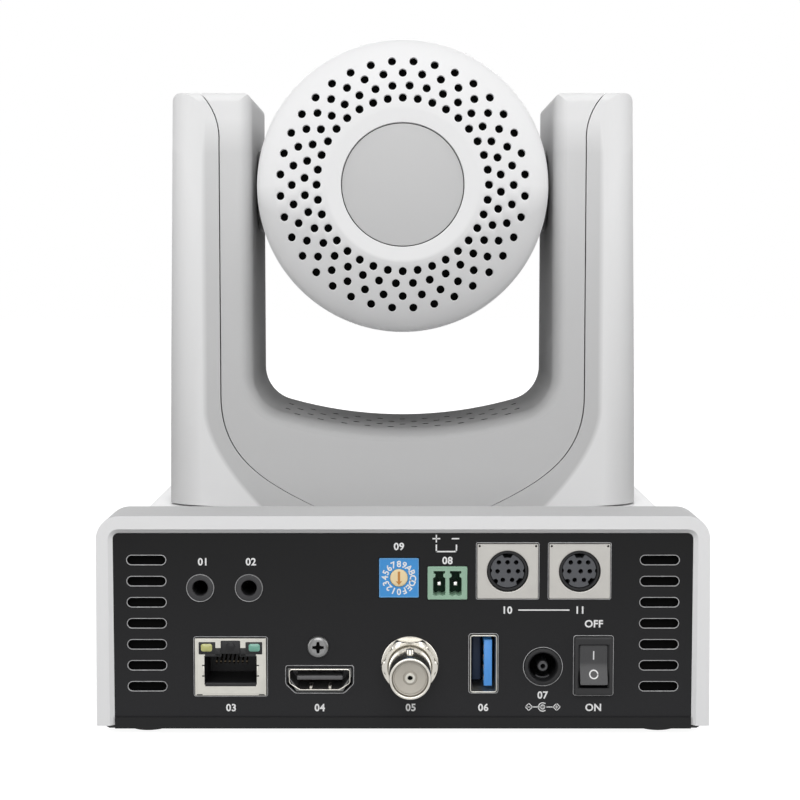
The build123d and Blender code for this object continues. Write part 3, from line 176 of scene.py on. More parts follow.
links.new(given.outputs["Scale"], fine.inputs["Scale"])
links.new(scaled.outputs[0], fine.inputs["Vector"])
links.new(place.outputs["Object"], broad.inputs["Vector"])


class Amount:
    """Number that varies over a surface. Arithmetic on it adds Math nodes to its node tree."""
    def __init__(self, tree, socket):
        self.tree, self.socket = tree, socket

    def worked(self, operation, *values):
        """Adds one Math node, fed by amounts or plain numbers, and returns its output as an amount."""
        node = self.tree.nodes.new("ShaderNodeMath")
        node.operation = operation
        for socket, value in zip(node.inputs, values):
            if isinstance(value, Amount):
                self.tree.links.new(value.socket, socket)
            else:
                socket.default_value = value
        return Amount(self.tree, node.outputs[0])

    def __add__(self, other):
        return self.worked("ADD", self, other)

    __radd__ = __add__

    def __sub__(self, other):
        return self.worked("SUBTRACT", self, other)

    def __rsub__(self, other):
        return self.worked("SUBTRACT", other, self)

    def __mul__(self, other):
        return self.worked("MULTIPLY", self, other)

    def __pow__(self, other):
        return self.worked("POWER", self, other)

    def __abs__(self):
        return self.worked("ABSOLUTE", self)

    def __lt__(self, other):
        return self.worked("LESS_THAN", self, other)

    def __gt__(self, other):
        return self.worked("GREATER_THAN", self, other)

    def least(self, other):
        """The lesser of this and another amount."""
        return self.worked("MINIMUM", self, other)

    def most(self, other):
        """The greater of this and another amount."""
        return self.worked("MAXIMUM", self, other)

    def held(self):
        """This amount, kept between 0 and 1."""
        return self.most(0.0).least(1.0)

    def feeds(self, name):
        """Links this amount to an input of its material's surface."""
        self.tree.links.new(self.socket, self.tree.nodes["Principled BSDF"].inputs[name])


wanted = {name: Amount(grain, given.outputs[name]) for name in ("Shade", "Rough", "Rough spread")}
speckle, cloud = (Amount(grain, noise.outputs["Fac"]) for noise in (fine, broad))
swing = speckle * fine_share + cloud * broad_share - 0.5
tint = nodes.new("ShaderNodeVectorMath")
tint.operation = "SCALE"
links.new(given.outputs["Colour"], tint.inputs[0])
links.new((swing * wanted["Shade"] + 1.0).socket, tint.inputs["Scale"])
links.new(tint.outputs[0], made.inputs["Colour"])
links.new((swing * wanted["Rough spread"] + wanted["Rough"]).socket, made.inputs["Roughness"])
links.new(fine.outputs["Fac"], made.inputs["Height"])


def finish(name, colour, rough, shade=0.08, scale=1500, bump=0.15, depth=0.03, spread=0.2, metal=0.0,
           coat=0.0, stretch=(1, 1, 1), clear=0.0, **more):
    """Material whose colour, gloss and fine relief follow the grain group; depth is in millimetres."""
    material = bpy.data.materials.new(name)
    nodes, links = shader_tree(material)
    surface, out = nodes.new("ShaderNodeBsdfPrincipled"), nodes.new("ShaderNodeOutputMaterial")
    group = nodes.new("ShaderNodeGroup")
    group.node_tree = grain
    group.inputs["Colour"].default_value = (*colour, 1)
    for label, value in (("Shade", shade), ("Scale", scale), ("Rough", rough), ("Rough spread", spread),
                         ("Stretch", stretch)):
        group.inputs[label].default_value = value
    relief = nodes.new("ShaderNodeBump")
    relief.inputs["Strength"].default_value = bump
    relief.inputs["Distance"].default_value = depth * mm
    links.new(group.outputs["Height"], relief.inputs["Height"])
    links.new(relief.outputs[0], surface.inputs["Normal"])
    links.new(group.outputs["Colour"], surface.inputs["Base Color"])
    links.new(group.outputs["Roughness"], surface.inputs["Roughness"])
    surface.inputs["Metallic"].default_value = metal
    surface.inputs["Coat Weight"].default_value = coat
    surface.inputs["Transmission Weight"].default_value = clear
    for label, value in more.items():
        surface.inputs[label.replace("_", " ")].default_value = value
    links.new(surface.outputs[0], out.inputs["Surface"])
    return material


def dress(material, *names):
    """Gives a finish to solids that keep their own shape."""
    for name in names:
        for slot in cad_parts[name].material_slots:
            slot.material = material


def with_painted_light(material, tone):
    """Paints light and shade into a finish: multiplies its colour by a factor that tone works out from a
    face's place, as X, Y and Z in metres, and from the way it looks, as three parts of its normal."""
    tree = material.node_tree
    base_colour = tree.nodes["Principled BSDF"].inputs["Base Color"]
    where, tint = tree.nodes.new("ShaderNodeTexCoord"), tree.nodes.new("ShaderNodeVectorMath")
    axes = []
    for output in ("Object", "Normal"):
        split = tree.nodes.new("ShaderNodeSeparateXYZ")
        tree.links.new(where.outputs[output], split.inputs[0])
        axes.append([Amount(tree, part) for part in split.outputs])
    tint.operation = "SCALE"
    tree.links.new(base_colour.links[0].from_socket, tint.inputs[0])
    tree.links.new(tone(*axes).socket, tint.inputs["Scale"])
    tree.links.new(tint.outputs[0], base_colour)


black_paint = finish("black paint", (0.006, 0.006, 0.0065), 0.5, scale=2600, bump=0.35, depth=0.04,
                     Specular_IOR_Level=0.2)
rubber = finish("foot rubber", (0.02, 0.02, 0.02), 0.75, scale=1200, bump=0.3)
steel = finish("screw steel", (0.55, 0.54, 0.52), 0.3, metal=1.0, scale=2000)
brass = finish("turned brass", (0.78, 0.58, 0.28), 0.25, metal=1.0, stretch=(1, 1, 12), scale=900)
dress(black_paint, "base_plate")
dress(rubber, "rubber_feet")
dress(steel, "base_screws")
dress(brass, "tripod_bush", "board_spacers")

# ---- Circuit boards ----
# Two green glass-fibre boards carry the lower and the upper row of sockets and hang on brass spacers.
# Their tinned contacts show inside the sockets.
board_green = finish("solder mask", (0.01, 0.09, 0.04), 0.35, shade=0.3, scale=400, coat=0.3)
contact_gold = finish("gold contact", (0.83, 0.62, 0.3), 0.22, metal=1.0)
dress(board_green, "circuit_boards", "sensor_board", "tilt_sensor")

# ---- Rear panel ----
# A flat steel sheet under matt black paint, pierced for every socket and for seven ventilation slots on
# each side. Grey lips round the slots are a painted edge highlight, and black sheets behind them are
# painted shade.
panel_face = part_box("rear_panel")[0][1] / mm
panel_paint = finish("panel paint", (0.0115, 0.0115, 0.0125), 0.46, shade=0.5, scale=2200, bump=0.4,
                     depth=0.03, Specular_IOR_Level=0.15)
dress(panel_paint, "rear_panel")


def panel_painted_light(place, facing):
    """Painted light and shade: a little lighter towards the foot of the panel than at its head, as the
    light falls on it.
    """
    return 1.5 - place[2] * 26.0


with_painted_light(panel_paint, panel_painted_light)


def piece(name, shape, material, body, *nodes, slot=None, smooth=35):
    """One object from (corners in millimetres, faces), with doubles merged and faces turned outwards."""
    points, faces = shape
    mesh = bpy.data.meshes.new(name)
    mesh.from_pydata((np.asarray(points, float) * mm).tolist(), [],
                     [list(map(int, face)) for face in faces])
    work = bmesh.new()
    work.from_mesh(mesh)
    bmesh.ops.remove_doubles(work, verts=work.verts, dist=1e-7)
    bmesh.ops.recalc_face_normals(work, faces=work.faces)
    work.to_mesh(mesh)
    work.free()
    mesh.shade_smooth()
    mesh.set_sharp_from_angle(angle=radians(smooth))
    mesh.materials.append(material)
    obj = bpy.data.objects.new(name, mesh)
    scene.collection.objects.link(obj)
    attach(obj, body)
    if nodes:
        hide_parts(*nodes)


def skin(rings, whole=False):
    """Faces between rings of equal count, row i to row i + 1, with flat caps or a return to row 0."""
    rings = np.asarray(rings, float)
    rows, count = rings.shape[:2]
    index = np.arange(rows * count).reshape(rows, count)
    below, above = (index, np.roll(index, -1, axis=0)) if whole else (index[:-1], index[1:])
    faces = np.stack([below, np.roll(below, -1, axis=1), np.roll(above, -1, axis=1), above], axis=-1)
    faces = faces.reshape(-1, 4).tolist()
    if not whole:
        faces += [index[0][::-1].tolist(), index[-1].tolist()]
    return rings.reshape(-1, 3), faces


def together(*parts):
    """Joins several (corners, faces) pairs into one pair."""
    points, faces, start = [], [], 0
    for corners, sides in parts:
        points.append(corners)
        faces += [[corner + start for corner in side] for side in sides]
        start += len(corners)
    return np.concatenate(points), faces


def circle(turn):
    """Corners on a circle of radius 1 at the given angles."""
    return np.column_stack([np.cos(turn), np.sin(turn)])


def round_box(width, height, corner, steps=7):
    """Outline function of a rectangle: inset d gives four quarter circles of radius corner - d."""
    def outline(inset=0.0):
        radius = max(corner - inset, 0.01)
        across, up = width / 2 - inset - radius, height / 2 - inset - radius
        turn = np.linspace(0, pi / 2, steps)
        quarters = ((across, up, 0), (-across, up, pi / 2), (-across, -up, pi), (across, -up, 3 * pi / 2))
        return np.concatenate([radius * circle(turn + start) + np.array([x, z])
                               for x, z, start in quarters])
    return outline


def at_depth(flat, depth, x=0.0, z=0.0):
    """Corners in X and Z, moved by x and z and set at a depth along Y."""
    return np.column_stack([flat[:, 0] + x, np.full(len(flat), depth), flat[:, 1] + z])


def carried(profile, outline, x, z):
    """A profile of (inset, depth) pairs carried round an outline in X and Z: one ring for each pair."""
    return np.array([at_depth(outline(inset), depth, x, z) for inset, depth in profile])


def solid(profile, outline, x, z):
    """Closed solid with flat ends: a profile carried round an outline."""
    return skin(carried(profile, outline, x, z))


def hollow(profile, outline, x, z):
    """Closed tube: a profile that returns to its first pair, carried round an outline."""
    return skin(carried(profile, outline, x, z), whole=True)


slot_outline, slot_top, slot_pitch, slot_columns = round_box(9.4, 2.5, 1.25, 9), 40.0, 5.0, (-60.1, 60.1)
lip = [(0.2, panel_face + 0.15), (0.17, panel_face - 0.02), (0.1, panel_face - 0.04),
       (0.02, panel_face - 0.03), (-0.03, panel_face + 0.1)]
# Painted highlight: a grey lip stands in for the light caught on a punched edge of the black panel.
edge_highlight = finish("painted edge highlight", (0.34, 0.34, 0.345), 0.4, shade=1.6, scale=700, metal=0.3)
lips = [hollow(lip, slot_outline, x, slot_top - row * slot_pitch) for x in slot_columns for row in range(7)]
piece("slot_edges", together(*lips), edge_highlight, "base", slot="panel_paint")
# Painted shade: near-black matt sheets and blocks stand where openings and recesses show only shade.
shade_black = finish("painted shade black", (0.004, 0.004, 0.004), 0.9, scale=4000, bump=0.3, Specular_IOR_Level=0.05)


def stud(width, height, corner, x, z, front, back, edge=0.1):
    """Solid bar with a rounded front edge: a round box carried from its back to its front."""
    return solid([(0, back), (0, front + edge), (0.3 * edge, front + 0.3 * edge), (edge, front)],
                 round_box(width, height, corner), x, z)


# Painted shade: a black sheet behind each column of slots.
sheet_front = panel_face + 1.35
piece("slot_shade_sheets",
      together(*[stud(11.5, 35.5, 0.5, x, slot_top - 3 * slot_pitch, sheet_front, sheet_front + 0.3)
                 for x in slot_columns]), shade_black, "base", slot="black_plastic")

# ---- Audio jacks ----
# Two black moulded 3.5 mm jacks, each with a raised collar round its bore and a wider body behind the
# panel. A grey line round the collar's outer edge is a painted highlight.
jack_places, jack_z, jack_radius, jack_bore, jack_body = (-47.5, -36.1), 33.4, 3.15, 1.8, 3.4
socket_black = finish("socket plastic", (0.011, 0.011, 0.012), 0.4, shade=0.3, scale=1800, bump=0.15,
                      Specular_IOR_Level=0.25)
collar_grey = finish("collar grey", (0.03, 0.03, 0.032), 0.4, shade=0.3, scale=1400, Specular_IOR_Level=0.3)
nickel = finish("nickel plate", (0.48, 0.47, 0.43), 0.36, shade=0.5, scale=260, metal=0.9, bump=0.25)
bright_nickel = finish("bright nickel", (0.53, 0.51, 0.465), 0.22, shade=0.25, scale=300, metal=1.0,
                       bump=0.08)


def disc(radius, steps=48):
    """Outline function of a circle: inset d gives radius - d."""
    turn = np.arange(steps) * 2 * pi / steps

    def outline(inset=0.0):
        return (radius - inset) * circle(turn)
    return outline


front, back = panel_face - 0.3, panel_face + 12.0
barrel = [(jack_radius - jack_bore, back), (jack_radius - jack_bore, front + 0.2),
          (jack_radius - jack_bore - 0.15, front), (0.4, front - 0.02), (0.12, front + 0.02),
          (0, front + 0.16), (0, panel_face + 1.4)]
jacks = []
for x in jack_places:
    jacks.append(hollow(barrel, disc(jack_radius), x, jack_z))
    jacks.append(hollow([(0, back), (0, panel_face + 1.3), (jack_body - jack_bore, panel_face + 1.3),
                         (jack_body - jack_bore, back)], disc(jack_body), x, jack_z))
piece("audio_barrels", together(*jacks), collar_grey, "base", "audio_jacks", slot="black_plastic")
ring = [(0.08, panel_face - 0.02), (0.04, front - 0.03), (-0.06, front - 0.05), (-0.14, panel_face - 0.04)]
piece("audio_rings", together(*[hollow(ring, disc(jack_radius), x, jack_z) for x in jack_places]),
      edge_highlight, "base", slot="black_plastic")

# ---- Network socket ----
# A shield folded from tinned sheet, sprung at its sides, holds a black insert. Its mouth steps up round a
# latch block between two lights in dark housings, and eight gilt wires, darkened as painted shade, lean
# down behind it.
lan_x, lan_z, lan_width, lan_height = -40.5, 14.7, 16.7, 13.6
lan_front = panel_face - 0.4
dress(nickel, "lan_shield")
dress(socket_black, "lan_insert")
# On each side a light's housing, a corner slit, two notches, a shoulder of the mouth and one of the latch:
# width, height, corner, place from the middle across and up, and how far it stands proud.
dark_marks = ((4.0, 3.0, 0.2, 5.5, 4.45, 0.04), (1.4, 0.3, 0.05, 7.3, -6.6, 0.08),
              (0.6, 0.34, 0.05, 6.4, 0.35, 0.08), (0.6, 0.34, 0.05, 6.4, -2.15, 0.08),
              (3.9, 0.6, 0.05, 4.05, 2.75, 0.03), (1.4, 1.9, 0.05, 2.95, 3.6, 0.03))
pairs = [stud(width, height, corner, lan_x + side * x, lan_z + z, lan_front - proud, lan_front + 0.4)
         for width, height, corner, x, z, proud in dark_marks for side in (-1, 1)]
sill = stud(12.0, 0.9, 0.05, lan_x, lan_z - 4.2, lan_front - 0.03, lan_front + 0.4)
latch = stud(4.5, 3.2, 0.2, lan_x, lan_z + 4.7, lan_front - 0.03, lan_front + 1.5)
boss = solid([(0, lan_front + 0.5), (0, lan_front - 0.2), (0.15, lan_front - 0.3)], disc(1.1), lan_x,
             lan_z + 4.9)
piece("lan_latch_block", together(*pairs, sill, latch, boss), socket_black, "base", slot="black_plastic")
for side, name, colour in ((-1, "lan_light_left", (0.5, 0.5, 0.16)),
                           (1, "lan_light_right", (0.14, 0.4, 0.3))):
    glow = finish(name.replace("_", " "), colour, 0.25, shade=0.6, scale=500, coat=0.6)
    dome = [(0, lan_front + 0.3), (0, lan_front - 0.08), (0.15, lan_front - 0.16), (0.5, lan_front - 0.21),
            (0.85, lan_front - 0.23)]
    lens = solid(dome, round_box(2.6, 1.8, 0.5), lan_x + side * 5.6, lan_z + 4.6)
    piece(name, lens, glow, "base", *(("lan_lights",) if side > 0 else ()), slot="light_lens")
tabs = [stud(0.34, 2.3, 0.1, lan_x + side * 6.32, lan_z - 0.9, lan_front - 0.06, lan_front + 0.6)
        for side in (-1, 1)]
fold = hollow([(0, lan_front + 1.2), (0.0, lan_front + 0.12), (0.12, lan_front - 0.04),
               (0.5, lan_front - 0.05), (0.6, lan_front + 0.1)], round_box(lan_width, lan_height, 0.35),
              lan_x, lan_z)
piece("lan_fold", together(*tabs, fold), nickel, "base", slot="nickel")
# Painted shade: the gilt is darkened to the shade deep in the mouth.
shaded_gilt = finish("gilt in painted shade", (0.05, 0.038, 0.024), 0.4, metal=0.8)
wire_pitch, square = 1.02, np.array([(-0.2, -0.15), (0.2, -0.15), (0.2, 0.15), (-0.2, 0.15)])
path = ((13.4, 17.15), (9.0, 16.9), (4.0, 15.4), (3.0, 15.0), (2.6, 15.4))
wires = [skin([at_depth(square, panel_face + y, lan_x + (index - 3.5) * wire_pitch, z) for y, z in path])
         for index in range(8)]
piece("lan_wires", together(*wires), shaded_gilt, "base", slot="contact_metal")

# ---- Video socket and panel screw ----
# A drawn nickel shell with sloping lower corners and two sprung dimples surrounds a grey tongue. A
# cross-head screw above it ties the panel to the board.
video_x, video_z = -19.6, 11.65
dark_nickel = finish("dark nickel", (0.11, 0.11, 0.108), 0.4, shade=0.4, scale=400, metal=0.8)
dress(dark_nickel, "video_shield")


def video_outline(inset=0.0):
    """Wide mouth with two sloping lower corners, drawn in on all sides by the inset."""
    half, top, knee, slope = 7.45 - inset, 2.75 - inset, -0.8 + 0.4 * inset, 2.2
    right = [(half - slope - 0.3, -top), (half - slope + 0.25, -top + 0.3), (half - 0.25, knee - 0.3),
             (half, knee + 0.2), (half, top - 0.5), (half - 0.15, top - 0.15), (half - 0.5, top)]
    return np.array(right + [(-x, z) for x, z in right[::-1]])


front = panel_face - 0.3
rim = hollow([(0.24, front + 0.3), (0.26, front - 0.02), (0.34, front - 0.06), (0.43, front - 0.03),
              (0.46, front + 0.3)], video_outline, video_x, video_z)
dimples = [solid([(0, front + 4), (0, front + 1.0), (0.25, front + 0.7)], disc(0.55, 16), video_x + x,
                 video_z - 2.05) for x in (-2.1, 2.4)]
piece("video_rim", together(rim, *dimples), bright_nickel, "base", slot="nickel")
inner, outer = video_outline(-0.3), 1.09 * video_outline(-0.5)
outer[:, 1] = np.where(outer[:, 1] < -0.5, -3.6, outer[:, 1])
surround = [at_depth(ring, panel_face + depth, video_x, video_z)
            for ring, depth in ((inner, 0.5), (inner, -0.01), (outer, -0.01), (outer, 0.5))]
piece("video_surround", skin(surround, whole=True), panel_paint, "base", slot="panel_paint")
tongue_grey = finish("tongue grey", (0.09, 0.09, 0.092), 0.45)
tongue = stud(10.8, 1.0, 0.2, video_x, video_z + 0.2, panel_face + 0.8, panel_face + 8, 0.15)
block = stud(13.6, 4.0, 0.4, video_x, video_z + 0.25, panel_face + 7.6, panel_face + 10.4)
piece("video_tongue", together(tongue, block), tongue_grey, "base", "video_insert", slot="black_plastic")
# Painted shade: the video contacts use the same darkened gilt.
contact_strips = [stud(0.28, 0.08, 0.02, video_x + (index - 4.5) * 1.0, video_z - 0.34, panel_face + 1.1,
                       panel_face + 7.5, 0.02) for index in range(10)]
piece("video_contacts", together(*contact_strips), shaded_gilt, "base", slot="contact_metal")
screw_x, screw_z, screw_radius = -19.9, 19.5, 2.6
screw_steel = finish("dark screw steel", (0.2, 0.2, 0.2), 0.34, shade=0.5, scale=500, metal=0.9)


def pierced(loops, front, back, x=0.0, z=0.0):
    """Flat plate bounded by the first loop and pierced by the others: constrained triangles whose centre is
    inside an odd number of loops make both faces, and each loop gets a wall."""
    flat = np.concatenate(loops)
    starts = np.cumsum([0] + [len(loop) for loop in loops])
    edges = [(start + i, start + (i + 1) % len(loop)) for start, loop in zip(starts, loops)
             for i in range(len(loop))]
    corners, _, triangles, *_ = delaunay_2d_cdt([Vector(point) for point in flat], edges, [], 1, 1e-7)
    corners = np.array([tuple(corner) for corner in corners])
    triangles = np.array(triangles)
    centres = corners[triangles].mean(axis=1)
    crossings = np.zeros(len(centres), int)
    for loop in loops:
        (x0, z0), (x1, z1) = loop.T[:, None, :], np.roll(loop, -1, axis=0).T[:, None, :]
        spans = (z0 > centres[:, 1:]) != (z1 > centres[:, 1:])
        with np.errstate(divide="ignore", invalid="ignore"):
            meet = x0 + (centres[:, 1:] - z0) * (x1 - x0) / (z1 - z0)
        crossings += (spans & (centres[:, :1] < meet)).sum(axis=1)
    kept = triangles[crossings % 2 == 1]
    count = len(corners)
    faces = kept.tolist() + (kept[:, ::-1] + count).tolist()
    faces += [[a, b, b + count, a + count] for a, b in edges]
    return np.concatenate([at_depth(corners, depth, x, z) for depth in (front, back)]), faces


def spun(flat, turn):
    """Corners turned anticlockwise about the origin."""
    return flat @ np.array([[cos(turn), sin(turn)], [-sin(turn), cos(turn)]])


arm = np.array([(1.35, -0.3), (1.35, 0.3), (0.45, 0.45)])
cross = np.concatenate([spun(arm, turn) for turn in (0, pi / 2, pi, 3 * pi / 2)])
front = panel_face - 1.3
dome = [(0, panel_face - 0.02), (0, panel_face - 0.45), (0.12, front + 0.42), (0.4, front + 0.14),
        (0.85, front), (0.9, front + 0.5), (0.9, panel_face - 0.02)]
piece("screw_head", together(pierced([disc(1.75, 40)(0), cross], front, front + 0.75, screw_x, screw_z),
                             hollow(dome, disc(screw_radius, 40), screw_x, screw_z)), screw_steel, "base",
      "panel_screw", slot="steel", smooth=30)
# Painted shade: a black block fills the recess behind the cross.
piece("screw_recess", stud(3.2, 3.2, 1.5, screw_x, screw_z, front + 0.7, panel_face - 0.1), shade_black,
      "base", slot="steel")

# ---- Coaxial socket ----
# A turned and nickel-plated bayonet barrel with two lugs and a square body behind the panel, clamped by
# a hexagon nut on a washer. A sleeve holds a white insulator, whose bore leads to the centre contact.
coax_x, coax_z, barrel_radius, barrel_bore = 1.6, 15.3, 4.8, 4.1
front = panel_face - 15.2
profile = [(barrel_bore, front + 9.0), (barrel_bore, front + 0.25), (barrel_bore + 0.1, front + 0.05),
           (barrel_bore + 0.25, front), (barrel_radius - 0.25, front), (barrel_radius - 0.08, front + 0.06),
           (barrel_radius, front + 0.25), (barrel_radius, front + 8.4), (barrel_radius - 0.3, front + 8.8),
           (barrel_radius - 0.3, front + 9.6), (4.95, front + 10.0), (4.95, panel_face + 1.2)]
turned = solid([(barrel_radius - radius, depth) for radius, depth in profile], disc(barrel_radius, 64),
               coax_x, coax_z)


def upright(rings, x, y, z):
    """Rings made along Y, turned to stand along Z with their origin at a place."""
    return rings[:, :, [0, 2, 1]] + np.array([x, y, z])


lug = [(0, -5.8), (0, -5.5), (0, 5.5), (0.06, 5.68), (0.2, 5.78), (0.45, 5.8)]
lugs = skin(upright(carried([(0.45, -5.8), (0.2, -5.78), (0.06, -5.68)] + lug[1:], disc(0.95, 24), 0, 0),
                    coax_x, front + 5.4, coax_z))
body_block = solid([(0, panel_face + 10.2), (0, panel_face + 1.4), (0.2, panel_face + 1.2)],
                   round_box(13.2, 13.2, 0.8), coax_x, coax_z)
piece("coax_barrel", together(turned, lugs, body_block), bright_nickel, "base", "coax_body", slot="nickel")


def nut_ring(depth, limit):
    """Hexagon with flats above and below, cut back to a circle: its radius is the lesser of both."""
    turn = np.arange(96) * 2 * pi / 96
    fold_angle = (turn - pi / 2 + pi / 6) % (pi / 3) - pi / 6
    radius = np.minimum(5.9 / np.cos(fold_angle), limit)
    return at_depth(radius[:, None] * circle(turn), depth, coax_x, coax_z)


nut_front, nut_back = panel_face - 3.3, panel_face - 0.7
nut = [nut_ring(nut_back, 6.6), nut_ring(nut_front + 0.55, 7.0), nut_ring(nut_front + 0.25, 6.5),
       nut_ring(nut_front, 5.95), nut_ring(nut_front, 5.3), nut_ring(nut_front + 0.25, 5.02),
       nut_ring(nut_back, 5.02)]
washer = [(1.68, panel_face), (0.0, panel_face), (0, panel_face - 0.6), (0.1, panel_face - 0.7),
          (1.68, panel_face - 0.7)]
piece("coax_nut_and_washer", together(skin(nut, whole=True), hollow(washer, disc(6.7, 64), coax_x, coax_z)),
      bright_nickel, "base", "coax_nut", slot="nickel", smooth=25)
white_insulator = finish("white insulator", (0.78, 0.76, 0.69), 0.45)
plug = [(0.6, front + 8.0), (0.6, front + 0.75), (0.5, front + 0.6), (0.2, front + 0.6),
        (0.05, front + 0.75), (0, front + 1.2), (0, front + 9.0)]
piece("coax_core", hollow(plug, disc(1.2, 32), coax_x, coax_z), white_insulator, "base", "coax_insulator",
      slot="white_insulator")
# Painted shade: the centre contact at the foot of the bore is drawn black.
piece("coax_centre", solid([(0, front + 3.0), (0, front + 1.6)], disc(0.58, 24), coax_x, coax_z),
      shade_black, "base", slot="contact_metal")
floor_ring = [(0, front + 8.9), (0, front + 0.7), (0.12, front + 0.55), (0.3, front + 0.6),
              (0.45, front + 1.0), (2.4, front + 1.2), (2.6, front + 0.95), (2.8, front + 0.95),
              (2.85, front + 8.9)]
piece("coax_sleeve", hollow(floor_ring, disc(4.02, 48), coax_x, coax_z),
      finish("sleeve nickel", (0.4, 0.375, 0.33), 0.5, shade=0.3, scale=500, metal=0.35), "base",
      slot="nickel")

# ---- Data socket ----
# A folded nickel shell with a bright rolled rim. The blue moulding inside fills its back and reaches
# forward as a tongue with flat contacts. Its back and side wall are drawn near-black navy as painted shade.
data_x, data_z, tongue_x = 18.9, 15.45, 20.0
front = panel_face - 0.6
shell = [(0, panel_face + 15.0), (0, front + 0.12), (0.06, front + 0.02), (0.15, front - 0.02),
         (0.26, front + 0.06), (0.3, front + 0.3), (0.32, panel_face + 15.0)]
piece("data_shell", hollow(shell, round_box(6.4, 13.7, 0.7), data_x, data_z), nickel, "base", "usb_shield",
      slot="nickel")
data_blue = finish("socket blue", (0.07, 0.31, 0.78), 0.38, shade=0.2)
shaded_data_blue = finish("socket blue in painted shade", (0.006, 0.014, 0.034), 0.5, shade=0.4, Specular_IOR_Level=0.2)
piece("data_tongue", stud(1.9, 11.0, 0.15, tongue_x, data_z, panel_face + 0.6, panel_face + 12.2, 0.12),
      data_blue, "base", "usb_insert", slot="blue_plastic")
backing = stud(5.3, 12.6, 0.3, data_x, data_z, panel_face + 11.6, panel_face + 14.5)
side_wall = stud(2.0, 10.6, 0.2, data_x - 1.5, data_z + 0.6, panel_face + 3.4, panel_face + 11.8, 0.3)
piece("data_backing", together(backing, side_wall), shaded_data_blue, "base", slot="blue_plastic")
data_pads = [stud(0.06, 1.3, 0.02, tongue_x - 0.97, data_z + (index - 1.5) * 2.4, panel_face + 1.2,
                  panel_face + 8, 0.02) for index in range(4)]
piece("data_contacts", together(*data_pads), contact_gold, "base", slot="contact_metal")

# ---- Power inlet ----
# A black round barrel with a stepped mouth is pushed through the panel from behind. It holds a hollow
# centre pin of darkened nickel, and a strip of sprung metal lies along its lower side.
inlet_x, inlet_z = 32.9, 14.7
front = panel_face - 0.7
mouth = [(1.25, panel_face + 9.5), (1.25, front + 0.9), (1.1, front + 0.5), (0.9, front + 0.12),
         (0.75, front), (0.2, front), (0.05, front + 0.06), (0, front + 0.22), (0, panel_face + 11)]
piece("inlet_barrel", hollow(mouth, disc(4.4, 56), inlet_x, inlet_z), socket_black, "base", "dc_inlet",
      slot="black_plastic")
pin_nickel = finish("pin nickel", (0.06, 0.06, 0.063), 0.4, metal=0.7)
pin = [(0.8, panel_face + 9.0), (0.8, panel_face + 0.5), (0.7, panel_face + 0.35),
       (0.25, panel_face + 0.35), (0.06, panel_face + 0.5), (0, panel_face + 0.8), (0, panel_face + 9.0)]
base_disc = solid([(0, panel_face + 9.5), (0, panel_face + 9.2), (0.1, panel_face + 9.1)], disc(3.14, 40),
                  inlet_x, inlet_z)
arc = 2.75 * circle(np.linspace(radians(235), radians(305), 12))
strip = np.concatenate([arc, arc[::-1] - np.array([0, 0.3])])
leaf = skin([at_depth(strip, y, inlet_x, inlet_z) for y in (panel_face + 9.2, panel_face + 1.6)])
piece("inlet_pin", together(hollow(pin, disc(1.3, 28), inlet_x, inlet_z), leaf), pin_nickel, "base",
      slot="contact_metal")
# Painted shade: the floor of the barrel is drawn in the shade black.
piece("inlet_floor", base_disc, shade_black, "base", slot="black_plastic")

# ---- Power switch ----
# A black bezel stands round a rocker of two faces that meet in a shallow valley. The rocker turns on its
# stub axle, and carries the marks I and O in white paint.
switch_x, switch_z, pivot_y = 44.75, 14.95, panel_face + 1.2
front = panel_face - 1.1
bezel = [(1.225, panel_face + 8.0), (1.225, front + 0.5), (1.0, front + 0.25), (0.8, front + 0.05),
         (0.5, front), (0.25, front + 0.02), (0.06, front + 0.12), (0, front + 0.4), (0, panel_face),
         (0.5, panel_face), (0.5, panel_face + 8.0)]
bezel_box = round_box(9.0, 13.9, 0.5)


def bezel_outline(inset):
    """Round box whose upper and lower bars are wider than its sides, by half a millimetre once inside."""
    ring = bezel_box(inset)
    ring[:, 1] *= 1 if inset <= 0.5 else (5.2 / (6.95 - inset))
    return ring


switch_black = finish("switch plastic", (0.016, 0.016, 0.017), 0.45, shade=0.3, scale=1500, bump=0.25,
                      Specular_IOR_Level=0.3)
well = solid([(0, panel_face + 12.0), (0, panel_face + 7.8), (0.2, panel_face + 7.6)],
             round_box(8.0, 12.9, 0.3), switch_x, switch_z)
piece("switch_bezel", together(hollow(bezel, bezel_outline, switch_x, switch_z), well), switch_black,
      "base", "switch_frame", slot="black_plastic")
rocker_grey = finish("rocker plastic", (0.048, 0.048, 0.05), 0.4, shade=0.25, scale=1500, bump=0.3,
                     Specular_IOR_Level=0.35)
tilt_at_rest = radians(-9)


def rocker_face(height):
    """Depth of the rocker's front at a height from its axle: a valley with a rounded bottom."""
    return -1.5 - 1.1 * np.sqrt((height / 4.7) ** 2 + 0.004)


def at_rest(depth, height):
    """Turns depth and height about the axle to the rocker's rest position, with its lower half out."""
    return (pivot_y + depth * cos(tilt_at_rest) - height * sin(tilt_at_rest),
            switch_z + depth * sin(tilt_at_rest) + height * cos(tilt_at_rest))


